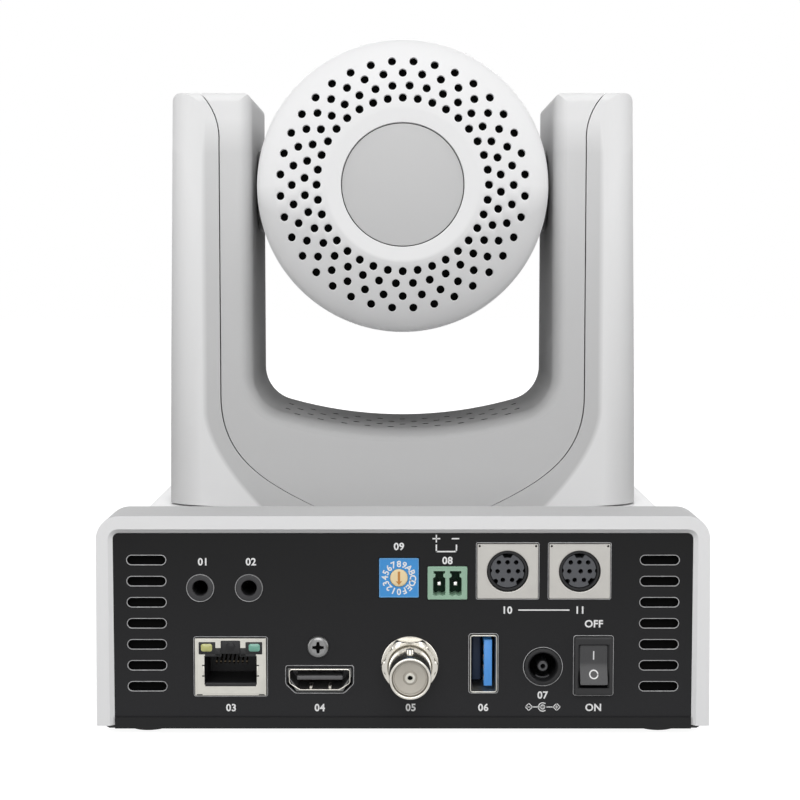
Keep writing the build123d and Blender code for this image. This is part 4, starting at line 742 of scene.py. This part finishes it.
up = np.linspace(4.6, -4.6, 25)
front_line = np.column_stack([rocker_face(up), up])
heel = np.array([(-2.1, -4.7), (1.6, -3.3), (2.6, 0), (1.6, 3.3), (-2.1, 4.7)])
section = np.concatenate([front_line, heel])
middle_line = section.mean(axis=0)
rings = []
for x, share in ((-3.2, 0.93), (-3.1, 0.985), (-2.9, 1.0), (2.9, 1.0), (3.1, 0.985), (3.2, 0.93)):
    shrunk = middle_line + (section - middle_line) * share
    depth, height = at_rest(shrunk[:, 0], shrunk[:, 1])
    rings.append(np.column_stack([np.full(len(section), switch_x + x), depth, height]))
axle = carried([(0, -3.7), (0, 3.7)], disc(1.0, 24), 0, 0)[:, :, [1, 0, 2]]
axle += np.array([switch_x, pivot_y, switch_z])
piece("rocker_button", together(skin(rings), skin(axle)), rocker_grey, "rocker", "switch_rocker",
      slot="black_plastic")

# ---- Serial sockets ----
# Two square nickel plates with small rivet holes surround round black sockets. A grey core in each has
# eight contact holes, a wide key slot above, a small notch on each side and two broad ones below.
din_places, din_z = (24.5, 41.35), 37.4
plate_nickel = finish("plate nickel", (0.37, 0.36, 0.34), 0.42, shade=0.3, scale=260, metal=0.8, bump=0.25)
core_grey = finish("core grey", (0.085, 0.088, 0.096), 0.45, Specular_IOR_Level=0.3)
plates, sleeves, cores = [], [], []
for x in din_places:
    front = panel_face - 0.5
    square, hole = round_box(14.3, 13.0, 0.3)(0), disc(4.9, 48)(0)
    rivets = [disc(0.28, 10)(0) + np.array([side * 6.6, 5.95]) for side in (-1, 1)]
    edge = hollow([(0, panel_face + 0.02), (0, front + 0.1), (0.1, front - 0.02), (0.3, front - 0.02),
                   (0.35, front + 0.1)], round_box(14.3, 13.0, 0.3), x, din_z)
    plates += [pierced([square * 0.985, hole] + rivets, front, panel_face + 0.3, x, din_z), edge,
               hollow([(0, panel_face + 12.5), (0, front), (-0.12, front - 0.05), (-0.3, front - 0.04),
                       (-0.34, panel_face + 12.5)], disc(4.9), x, din_z)]
    sleeves.append(solid([(0, panel_face + 12.2), (0, panel_face + 0.3), (0.1, panel_face + 0.15),
                          (0.6, panel_face + 0.15), (0.7, panel_face + 0.3), (0.7, panel_face + 9.0)],
                         disc(4.78), x, din_z))
    holes = [disc(0.56, 14)(0) + np.array(place)
             for place in ((-2.03, 1.95), (0, 1.98), (2.03, 1.95), (-2.35, -0.15), (0.3, -0.15),
                           (2.45, -0.15), (-1.1, -2.2), (1.1, -2.2))]
    turn = np.radians(np.arange(0, 360, 4))
    radius = np.full(len(turn), 3.95)
    radius[np.abs(turn - pi / 2) < radians(16)] = 3.05
    for notch in (0, 180, 360):
        radius[np.abs(turn - radians(notch)) < radians(6)] = 3.65
    for notch in (222, 318):
        radius[np.abs(turn - radians(notch)) < radians(10)] = 3.2
    outline = radius[:, None] * circle(turn)
    cores.append(pierced([outline] + holes, panel_face + 0.45, panel_face + 9.5, x, din_z))
piece("din_plates", together(*plates), plate_nickel, "base", "din_shields", slot="nickel")
piece("din_sleeves", together(*sleeves), socket_black, "base", "din_inserts", slot="black_plastic")
piece("din_cores", together(*cores), core_grey, "base", slot="black_plastic", smooth=25)

# ---- Terminal header ----
# A pale green moulding with two keyed pockets, each with a square tinned pin. It is soldered to the upper
# board and shows through the panel.
terminal_x, terminal_z, half_pitch = 10.4, 34.6, 1.905
mint = finish("mint plastic", (0.31, 0.48, 0.36), 0.45, shade=0.1, Specular_IOR_Level=0.3)
shaded_mint = finish("mint in painted shade", (0.006, 0.028, 0.014), 0.6, Specular_IOR_Level=0.2)
pocket = np.array([(-1.45, -2.75), (-0.75, -3.05), (0.0, -2.7), (0.75, -3.05), (1.45, -2.75), (1.45, 1.2),
                   (0.95, 1.5), (0.95, 2.1), (1.35, 2.3), (1.35, 2.85), (-1.35, 2.85), (-1.35, 2.3),
                   (-0.95, 2.1), (-0.95, 1.5), (-1.45, 1.2)])
pockets = [pocket + np.array([side * half_pitch, 0]) for side in (-1, 1)]
front = panel_face - 0.4
block = pierced([round_box(9.2, 7.7, 0.25)(0)] + pockets, front, panel_face + 7.4, terminal_x, terminal_z)
rim = hollow([(0, panel_face + 0.1), (0, front + 0.12), (0.12, front - 0.03), (0.35, front - 0.03),
              (0.45, front + 0.15)], round_box(9.3, 7.8, 0.3), terminal_x, terminal_z)
piece("terminal_block", together(block, rim), mint, "base", "terminal_header", slot="green_plastic",
      smooth=25)
# Painted shade: the pockets' floor is the mint moulding drawn deep green.
piece("terminal_floor", stud(8.6, 7.0, 0.2, terminal_x, terminal_z, panel_face + 4.5, panel_face + 7.2),
      shaded_mint, "base", slot="green_plastic")
tinned = finish("tinned pin", (0.7, 0.69, 0.66), 0.3, metal=1.0)
pins = [stud(0.9, 0.9, 0.1, terminal_x + side * half_pitch, terminal_z - 0.35, panel_face + 0.9,
             panel_face + 7.2, 0.25) for side in (-1, 1)]
piece("terminal_pins", together(*pins), tinned, "base", "socket_contacts", slot="contact_metal")

# ---- Selector ----
# A blue moulded body with a raised edge, and a round cream rotor with an orange arrow that turns past
# sixteen white marks, 0 to 9 and A to F.
selector_x, selector_z = -0.95, 35.8
front = panel_face - 0.2
selector_blue = finish("selector blue", (0.055, 0.29, 0.67), 0.45, shade=0.15, Specular_IOR_Level=0.3)
edge_blue = finish("selector edge", (0.12, 0.36, 0.68), 0.42)
cream = finish("rotor cream", (0.84, 0.68, 0.4), 0.45, shade=0.1)
case = pierced([round_box(9.2, 9.2, 0.2)(0), disc(2.15, 48)(0)], front, panel_face + 4.3, selector_x,
               selector_z)
piece("selector_case", case, selector_blue, "base", "selector_body", slot="blue_plastic", smooth=25)
rim = hollow([(0, panel_face + 0.1), (0, front + 0.06), (0.06, front - 0.06), (0.22, front - 0.06),
              (0.3, front + 0.06)], round_box(9.3, 9.3, 0.25), selector_x, selector_z)
piece("selector_edge", rim, edge_blue, "base", slot="blue_plastic")
rotor = [(0, panel_face + 4.0), (0, front + 0.12), (0.12, front + 0.02), (0.35, front - 0.02),
         (0.7, front - 0.03)]
piece("rotor_button", solid(rotor, disc(2.08, 48), selector_x, selector_z), cream, "selector",
      "selector_rotor", slot="cream_plastic")
arrow = np.array([(0, -1.7), (0.75, -0.7), (0.28, -0.85), (0.28, 1.5), (-0.28, 1.5), (-0.28, -0.85),
                  (-0.75, -0.7)])
piece("rotor_arrow", pierced([arrow], front - 0.07, front + 0.1, selector_x, selector_z),
      finish("arrow orange", (0.52, 0.22, 0.04), 0.45), "selector", slot="cream_plastic", smooth=25)

# ---- Painted highlights on the edges of the cut-outs ----
# Grey lips along the punched edges round the network, video, data, power, switch and serial cut-outs are
# a painted highlight.
fine_lip = [(0.0, panel_face + 0.1), (-0.03, panel_face - 0.02), (-0.1, panel_face - 0.04),
            (-0.17, panel_face - 0.02), (-0.19, panel_face + 0.1)]
outlines = [(round_box(17.1, 14.0, 0.4), lan_x, lan_z),
            (lambda inset: video_outline(inset - 0.45), video_x, video_z),
            (round_box(6.7, 14.0, 0.6), data_x, data_z), (disc(4.5, 64), inlet_x, inlet_z),
            (round_box(9.15, 14.05, 0.5), switch_x, switch_z),
            (round_box(14.5, 13.2, 0.3), din_places[0], din_z),
            (round_box(14.5, 13.2, 0.3), din_places[1], din_z)]
piece("cutout_edges", together(*[hollow(fine_lip, outline, x, z) for outline, x, z in outlines]), edge_highlight,
      "base", slot="panel_paint")

# ---- White print ----
# Plain port numbers, the switch's words and signs, the selector's marks and the polarity marks are printed
# in thick white ink.
ink = finish("white ink", (0.82, 0.82, 0.82), 0.55, shade=0.1, scale=1500)
ink_depth, capital_share, letter_weight, letter_spacing = 0.03, 0.73, 0.026, 1.05


def lettering(text, size):
    """Flat outline of a text as (corners, faces) in X and Z, centred, of a given capital height."""
    curve = bpy.data.curves.new("ink", "FONT")
    curve.body, curve.size, curve.resolution_u = text, 1.0, 3
    curve.offset, curve.space_character = letter_weight, letter_spacing
    holder = bpy.data.objects.new("ink", curve)
    scene.collection.objects.link(holder)
    bpy.context.view_layer.update()
    mesh = bpy.data.meshes.new_from_object(holder.evaluated_get(bpy.context.evaluated_depsgraph_get()))
    corners = np.array([vertex.co[:2] for vertex in mesh.vertices])
    faces = [list(polygon.vertices) for polygon in mesh.polygons]
    bpy.data.objects.remove(holder)
    bpy.data.curves.remove(curve)
    bpy.data.meshes.remove(mesh)
    low, high = corners.min(axis=0), corners.max(axis=0)
    return (corners - (low + high) / 2) * size / capital_share, faces


def inked(flat, faces, x, z, turn=0.0):
    """Flat letters turned clockwise in the panel's plane and moved to a place."""
    return spun(flat, -turn) + np.array([x, z]), faces


def printed(marks, depth):
    """Gives (corners, faces) marks in X and Z the ink's thickness: both faces and the rim walls."""
    points, faces, start = [], [], 0
    for flat, sides in marks:
        count = len(flat)
        points += [at_depth(flat, level) for level in (depth - ink_depth, depth + 0.01)]
        once = {}
        for side in sides:
            for a, b in zip(side, side[1:] + side[:1]):
                once[(a, b)] = once.get((a, b), 0) + 1
        faces += [[corner + start for corner in side] for side in sides]
        faces += [[corner + start + count for corner in side[::-1]] for side in sides]
        faces += [[a + start, b + start, b + start + count, a + start + count] for a, b in once
                  if (b, a) not in once]
        start += 2 * count
    return np.concatenate(points), faces


def stroke(points, width=0.3, closed=False):
    """Line of even width through points in X and Z: one quad for each run, lengthened by half its width."""
    points = np.array(points, float)
    ends = list(zip(points, np.roll(points, -1, axis=0)))[:None if closed else -1]
    shapes = []
    for first, last in ends:
        way = (last - first) / np.linalg.norm(last - first) * width / 2
        side = np.array([-way[1], way[0]])
        shapes.append((np.array([first - way - side, last + way - side, last + way + side,
                                 first - way + side]), [[0, 1, 2, 3]]))
    return shapes


def hoop(radius, width, x, z, start=0.0, end=360.0, steps=32):
    """Flat ring or part of one: inner and outer arcs joined by quads."""
    way = circle(np.radians(np.linspace(start, end, steps + 1)))
    points = np.concatenate([way * (radius - width / 2), way * (radius + width / 2)]) + np.array([x, z])
    return points, [[i, i + 1, i + steps + 2, i + steps + 1] for i in range(steps)]


labels = (("01", -47.0, 39.6), ("02", -35.6, 39.6), ("03", -40.5, 4.9), ("04", -19.6, 4.9),
          ("05", 1.8, 4.95), ("06", 18.9, 4.95), ("07", 32.9, 7.9), ("08", 10.4, 39.9), ("09", -0.95, 43.2),
          ("10", 24.6, 28.15), ("11", 41.5, 28.15), ("OFF", 44.8, 24.9), ("ON", 44.8, 4.95))
marks = [inked(*lettering(text, 1.75), x, z) for text, x, z in labels]
sign_z, line_z, polarity_z = 45.05, 28.15, 5.05
for ends in (((7.05, sign_z), (8.55, sign_z)), ((7.8, 44.3), (7.8, 45.8)),
             ((11.55, sign_z), (13.0, sign_z))):
    marks += stroke(ends)
marks += stroke([(7.8, 43.5), (7.8, 42.0), (12.5, 42.0), (12.5, 43.5)], 0.33)
marks += stroke([(27.2, line_z), (38.9, line_z)])
for x in (29.65, 36.2):
    marks += stroke([(x - 0.85, polarity_z), (x, polarity_z + 0.85), (x + 0.85, polarity_z),
                     (x, polarity_z - 0.85)], 0.2, closed=True)
    marks += stroke([(x - 0.3, polarity_z), (x + 0.3, polarity_z)], 0.16)
marks += stroke([(36.2, polarity_z - 0.3), (36.2, polarity_z + 0.3)], 0.16)
for low, high in ((30.6, 32.6), (33.9, 35.25)):
    marks += stroke([(low, polarity_z), (high, polarity_z)], 0.22)
marks += [hoop(0.3, 0.6, inlet_x, polarity_z), hoop(1.0, 0.22, inlet_x, polarity_z, 50, 310)]
piece("panel_print", printed(marks, panel_face), ink, "base", slot="panel_paint", smooth=25)
dial_radius, dial_step = 3.3, pi / 8
dial = [inked(*lettering(text, 1.5), selector_x - dial_radius * sin(turn),
              selector_z - dial_radius * cos(turn), turn + pi)
        for turn, text in ((k * dial_step, text) for k, text in enumerate("0123456789ABCDEF"))]
piece("dial_print", printed(dial, panel_face - 0.2), ink, "base", slot="blue_plastic", smooth=25)
flat, faces = printed(stroke([(0, 1.35), (0, 3.1)], 0.28) + [hoop(0.95, 0.3, 0, -2.2)], 0)
depth, height = at_rest(rocker_face(flat[:, 2]) + flat[:, 1] - 0.02, flat[:, 2])
piece("rocker_print", (np.column_stack([flat[:, 0] + switch_x, depth, height]), faces), ink, "rocker",
      slot="black_plastic", smooth=25)

# ---- Base cover and front window ----
# A pale moulded ABS cover with a fine matt skin stands on the plate, with a dark window at the front for
# the remote control's receiver.
bridge_front, satin_coat = -0.0675, 0.5
pale_plastic = finish("pale plastic", (0.83, 0.83, 0.835), 0.55, shade=0.015, scale=3200, bump=0.12,
                      depth=0.02, Specular_IOR_Level=0.0, Coat_Roughness=0.55)
dark_window = finish("dark window", (0.012, 0.005, 0.007), 0.12, spread=0.02, bump=0.0,
                     Specular_IOR_Level=0.35)


def cover_painted_light(place, facing):
    """Painted light and shade: upper faces are a little lighter on the deck, and darker and almost matt on
    the raised rear part, as the light falls on them.
    """
    upper = facing[2].most(0.0)
    bridge = place[1] < bridge_front
    dull = bridge * (upper > 0.3) * 0.985
    ((1.0 - dull) * satin_coat).feeds("Coat Weight")
    return 1.0 + upper * (0.1 - bridge * 0.36)


with_painted_light(pale_plastic, cover_painted_light)
dress(pale_plastic, "base_cover")
dress(dark_window, "ir_window")

# ---- Pan drive ----
# A zinc-plated chassis with a bearing, an aluminium spindle, a moulded gear and a stepper motor turns
# the yoke.
zinc = finish("zinc plate", (0.6, 0.6, 0.58), 0.4, metal=1.0)
gear_white = finish("gear plastic", (0.75, 0.74, 0.7), 0.4)
aluminium = finish("machined aluminium", (0.72, 0.73, 0.74), 0.35, metal=1.0, stretch=(1, 12, 1))
dress(zinc, "pan_chassis", "pan_motor", "tilt_motor", "yoke_frame")
dress(steel, "pan_bearing", "tilt_bearings", "yoke_screws", "guide_rods")
dress(aluminium, "pan_spindle", "head_chassis", "heat_sink")
dress(gear_white, "pan_gear", "tilt_gear")
dress(brass, "pan_pinion", "tilt_pinion")

# ---- Yoke ----
# Two outer covers and a centre shell of the same moulded plastic meet in a fine seam. It is the plastic of
# the base and head, drawn darker than both as painted shade. Rows of vent holes pierce the saddle.
band_edge, band_fades, flare_top, fork_top, crown_start, arm_foot = 0.0518, 0.0539, 0.07, 0.1, 0.138, 0.045
holes_y, holes_along, holes_across = -0.007, 0.0155, 0.036
shaded_yoke_plastic = finish("yoke plastic in painted shade", (0.68, 0.68, 0.682), 0.55, shade=0.015, scale=3200, bump=0.12,
                      depth=0.02, Specular_IOR_Level=0.0, Coat_Roughness=0.55)
dress(shaded_yoke_plastic, "yoke_centre_shell", "yoke_cover_left", "yoke_cover_right")


def outer_band(x, z):
    """1 on an arm's outer band, which is painted lighter, and 0 inside it. Its edge runs down each arm and
    flares in at the foot.
    """
    flare = ((flare_top - z).most(0.0) * 1000) ** 1.66 * 0.000067
    return ((abs(x) - (band_edge - flare)) * 700).held()


def yoke_painted_light(place, facing):
    """Painted light and shade: lighter towards the arm tops and on the outer bands; dark and without gloss
    on the walls and the saddle inside the fork, and in the saddle's holes, as the light falls there."""
    x, y, z = place
    outward = x * facing[0] * 16.0
    inward = (outward * -1.6 - 0.12).held()
    band = outer_band(x, z) * (0.31 - (abs(x) - band_fades).most(0.0) * 37.0)
    crown = (z - crown_start).most(0.0) * 24
    light = 0.6 + (z - arm_foot) * 4.2 + (crown + (outward.most(0.0) * 0.16 + band))
    upward = (z < fork_top) * facing[2].most(0.0)
    kept = 1.0 - (inward * 0.25).most(upward * 0.39)
    bores = (abs(y - holes_y) < holes_along) * (abs(x) < holes_across) * (abs(facing[2]) < 0.5)
    ((inward.most(upward).most(bores) < 0.4) * satin_coat).feeds("Coat Weight")
    return light.least(1.25) * (kept * (1.0 - bores * 0.95))


with_painted_light(shaded_yoke_plastic, yoke_painted_light)
# Painted shade: a black sheet under the saddle's vent holes.
saddle_z, saddle_radius, sheet_depth = 65.3, 118.6, 0.9
across = np.linspace(-34, 34, 19)
level = saddle_z + saddle_radius - np.sqrt(saddle_radius ** 2 - across ** 2) - sheet_depth
sheet = np.concatenate([np.column_stack([across, level]), np.column_stack([across, level - 0.3])[::-1]])
piece("saddle_shade_sheet", skin([at_depth(sheet, y) for y in (-21.5, 7.5)]), shade_black, "yoke",
      slot="light_plastic")

# ---- Head ----
# The lens block hangs in an aluminium chassis between hollow trunnions, inside a moulded drum. The domed
# rear is pierced by four rings of round vent holes round a flat ring and a disc, with a black sheet behind
# them as painted shade.
cover_box, disc_box = (np.array(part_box(name)) / mm for name in ("head_rear_cover", "head_rear_disc"))
(head_left, head_rear, head_bottom), (head_right, seam_y, head_top) = cover_box
(disc_left, disc_front, _), (disc_right, _, _) = disc_box
head_radius, tilt_z = (head_right - head_left) / 2, (head_top + head_bottom) / 2
lens_black = finish("lens black", (0.006, 0.006, 0.007), 0.45, Specular_IOR_Level=0.1)
window_glass = finish("window glass", (0.95, 0.97, 0.98), 0.02, shade=0.02, spread=0.01, bump=0.0,
                      clear=1.0, IOR=1.16)
coated_lens = finish("coated lens", (0.004, 0.004, 0.012), 0.06, shade=0.5, scale=30, spread=0.02, bump=0.0,
                     Specular_IOR_Level=0.3, Specular_Tint=(0.55, 0.4, 1.0, 1))
head_plastic = finish("head plastic", (0.86, 0.86, 0.865), 0.55, shade=0.015, scale=3200, bump=0.12,
                      depth=0.02, Specular_IOR_Level=0.25)
dress(head_plastic, "head_front_cover")


def head_painted_shade(place, facing):
    """Painted shade: a little darker on the lower half of the domed rear, so that its edge shows against
    the flat ring.
    """
    return 1.0 - (facing[2] * -8.0).held() * (facing[1] * -3.0).held() * 0.2


with_painted_light(head_plastic, head_painted_shade)
dress(finish("trunnion grey", (0.1, 0.1, 0.1), 0.5), "head_trunnions")
dress(lens_black, "lens_ring", "lens_barrel", "zoom_group", "focus_group")
dress(window_glass, "front_glass")
dress(coated_lens, "front_lens")


def about_axis(profile, steps=96):
    """Rings about the head's axis from (radius, depth) pairs."""
    turn = np.radians(np.arange(steps) * 360 / steps)
    return [np.column_stack([radius * np.sin(turn), np.full(steps, depth), tilt_z + radius * np.cos(turn)])
            for radius, depth in profile]


lens_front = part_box("front_lens")[1][1] / mm
ridge_step, collar_radius = 0.45, 22.3
ridges = [(collar_radius - 0.4 * k, lens_front + 3.9 - ridge_step * k - drop)
          for k in range(8) for drop in (0.0, ridge_step)]
collar = ridges + [(18.9, lens_front + 0.2), (collar_radius, lens_front + 0.2)]
piece("lens_collar", skin(about_axis(collar), whole=True), lens_black, "head", slot="black_plastic",
      smooth=20)
disc_grey = finish("grey disc", (0.56, 0.56, 0.562), 0.5, shade=0.02, scale=2500)
disc_radius = (disc_right - disc_left) / 2
dome_start, dome_slope, head_wall, shell_depth = head_rear + 10.0, 1.6, 2.2, 2.4
ring_radius, seat_radius = disc_radius + 4.0, disc_radius + 0.25
vent_rings = ((disc_radius + 6.5, 0), (disc_radius + 9.65, 4), (disc_radius + 12.9, 0),
              (disc_radius + 16.0, 5))


def dome_depth(radius):
    """Depth of the domed rear at a distance from the head's axis: it leaves the ring at a slight slope and
    rounds over to the drum."""
    across = np.clip((np.asarray(radius, float) - ring_radius) / (head_radius - ring_radius), 0, 1)
    rise = dome_start - head_rear - dome_slope
    return dome_start - rise * np.sqrt(1 - across ** 2) - dome_slope * (1 - across)


def dome_points(radius, turn, sink=0.0):
    """Corners on the dome, sunk inwards along the head's axis."""
    return np.column_stack([radius * np.sin(turn), dome_depth(radius) + sink,
                            tilt_z + radius * np.cos(turn)])


def hole_patch(middle, low, high, start):
    """Patch of a vent ring 10 degrees wide between two radii, with a round hole: square rim, ring near the
    hole, rounded edge, bore, and the same again for the inside."""
    sides = 3
    t = np.radians(start + np.arange(11) - 5.0)
    r = np.linspace(low, high, sides + 1)
    turn = np.r_[t[:-1], np.full(sides, t[-1]), t[:0:-1], np.full(sides, t[0])]
    radius = np.r_[np.full(10, low), r[:-1], np.full(10, high), r[:0:-1]]
    centre = radians(start)
    way = np.arctan2((turn - centre) * middle, radius - middle)
    rows = [dome_points(radius, turn)]
    for hole, sink in ((1.3, 0.0), (1.13, 0.02), (1.05, 0.12), (1.05, shell_depth - 0.1),
                       (1.3, shell_depth)):
        along, beside = middle + hole * np.cos(way), hole * np.sin(way)
        rows.append(dome_points(np.hypot(along, beside), centre + np.arctan2(beside, along), sink))
    rows.append(dome_points(radius, turn, shell_depth))
    points = np.concatenate(rows)
    count = len(turn)
    index = np.arange(len(rows) * count).reshape(len(rows), count)
    faces = np.stack([index[:-1], np.roll(index[:-1], -1, 1), np.roll(index[1:], -1, 1), index[1:]], -1)
    return points, faces.reshape(-1, 4).tolist()


def band(radii, depths):
    """Open band of rings about the head's axis with a corner at each degree, as the vent patches have."""
    points, faces = skin(about_axis(zip(radii, depths), 360))
    return points, faces[:-2]


edges = disc_radius + np.array([4.95, 8.1, 11.25, 14.45, 17.55])
patches = []
for (middle, turn), low, high in zip(vent_rings, edges[:-1], edges[1:]):
    patches += [hole_patch(middle, low, high, 10 * index + turn) for index in range(36)]
outer = np.linspace(edges[-1], head_radius, 9)
inner = head_radius - head_wall
rim_radii = np.r_[outer, head_radius, head_radius - 0.15, inner, inner, edges[-1]]
rim_depths = np.r_[dome_depth(outer), seam_y - 0.2, seam_y - 0.05, seam_y - 0.05, dome_start + 1.5,
                   dome_depth(edges[-1]) + shell_depth]
flat_radii = np.array([edges[0], ring_radius + 0.3, ring_radius, ring_radius - 0.5, seat_radius + 0.15,
                       seat_radius, seat_radius, edges[0]])
flat_depths = np.array([dome_depth(edges[0]), dome_depth(ring_radius + 0.3), head_rear, head_rear,
                        head_rear, head_rear + 0.12, dome_depth(edges[0]) + shell_depth,
                        dome_depth(edges[0]) + shell_depth])
piece("head_dome", together(*patches, band(rim_radii, rim_depths), band(flat_radii, flat_depths)),
      head_plastic, "head", "head_rear_cover", slot="light_plastic", smooth=30)
plate = [(0, disc_front + 1.8), (0, disc_front + 0.12), (0.05, disc_front + 0.03), (0.15, disc_front)]
backing = [(0, disc_front + 2.1), (0, disc_front + 1.8)]
piece("head_disc", solid(plate, disc(disc_radius, 96), 0, tilt_z), disc_grey, "head", "head_rear_disc",
      slot="grey_disc")
piece("head_disc_seat", solid(backing, disc(seat_radius, 96), 0, tilt_z),
      finish("shadow gap", (0.1, 0.1, 0.1), 0.6), "head", slot="light_plastic")
sheet_radii = np.linspace(edges[0] + 0.2, edges[-1] + 0.6, 6)
lining = np.r_[sheet_radii, sheet_radii[::-1]]
lining_depths = np.r_[dome_depth(sheet_radii) + 2.5, dome_depth(sheet_radii[::-1]) + 2.8]
piece("vent_shade_sheet", skin(about_axis(zip(lining, lining_depths), 120), whole=True), shade_black, "head",
      slot="light_plastic")
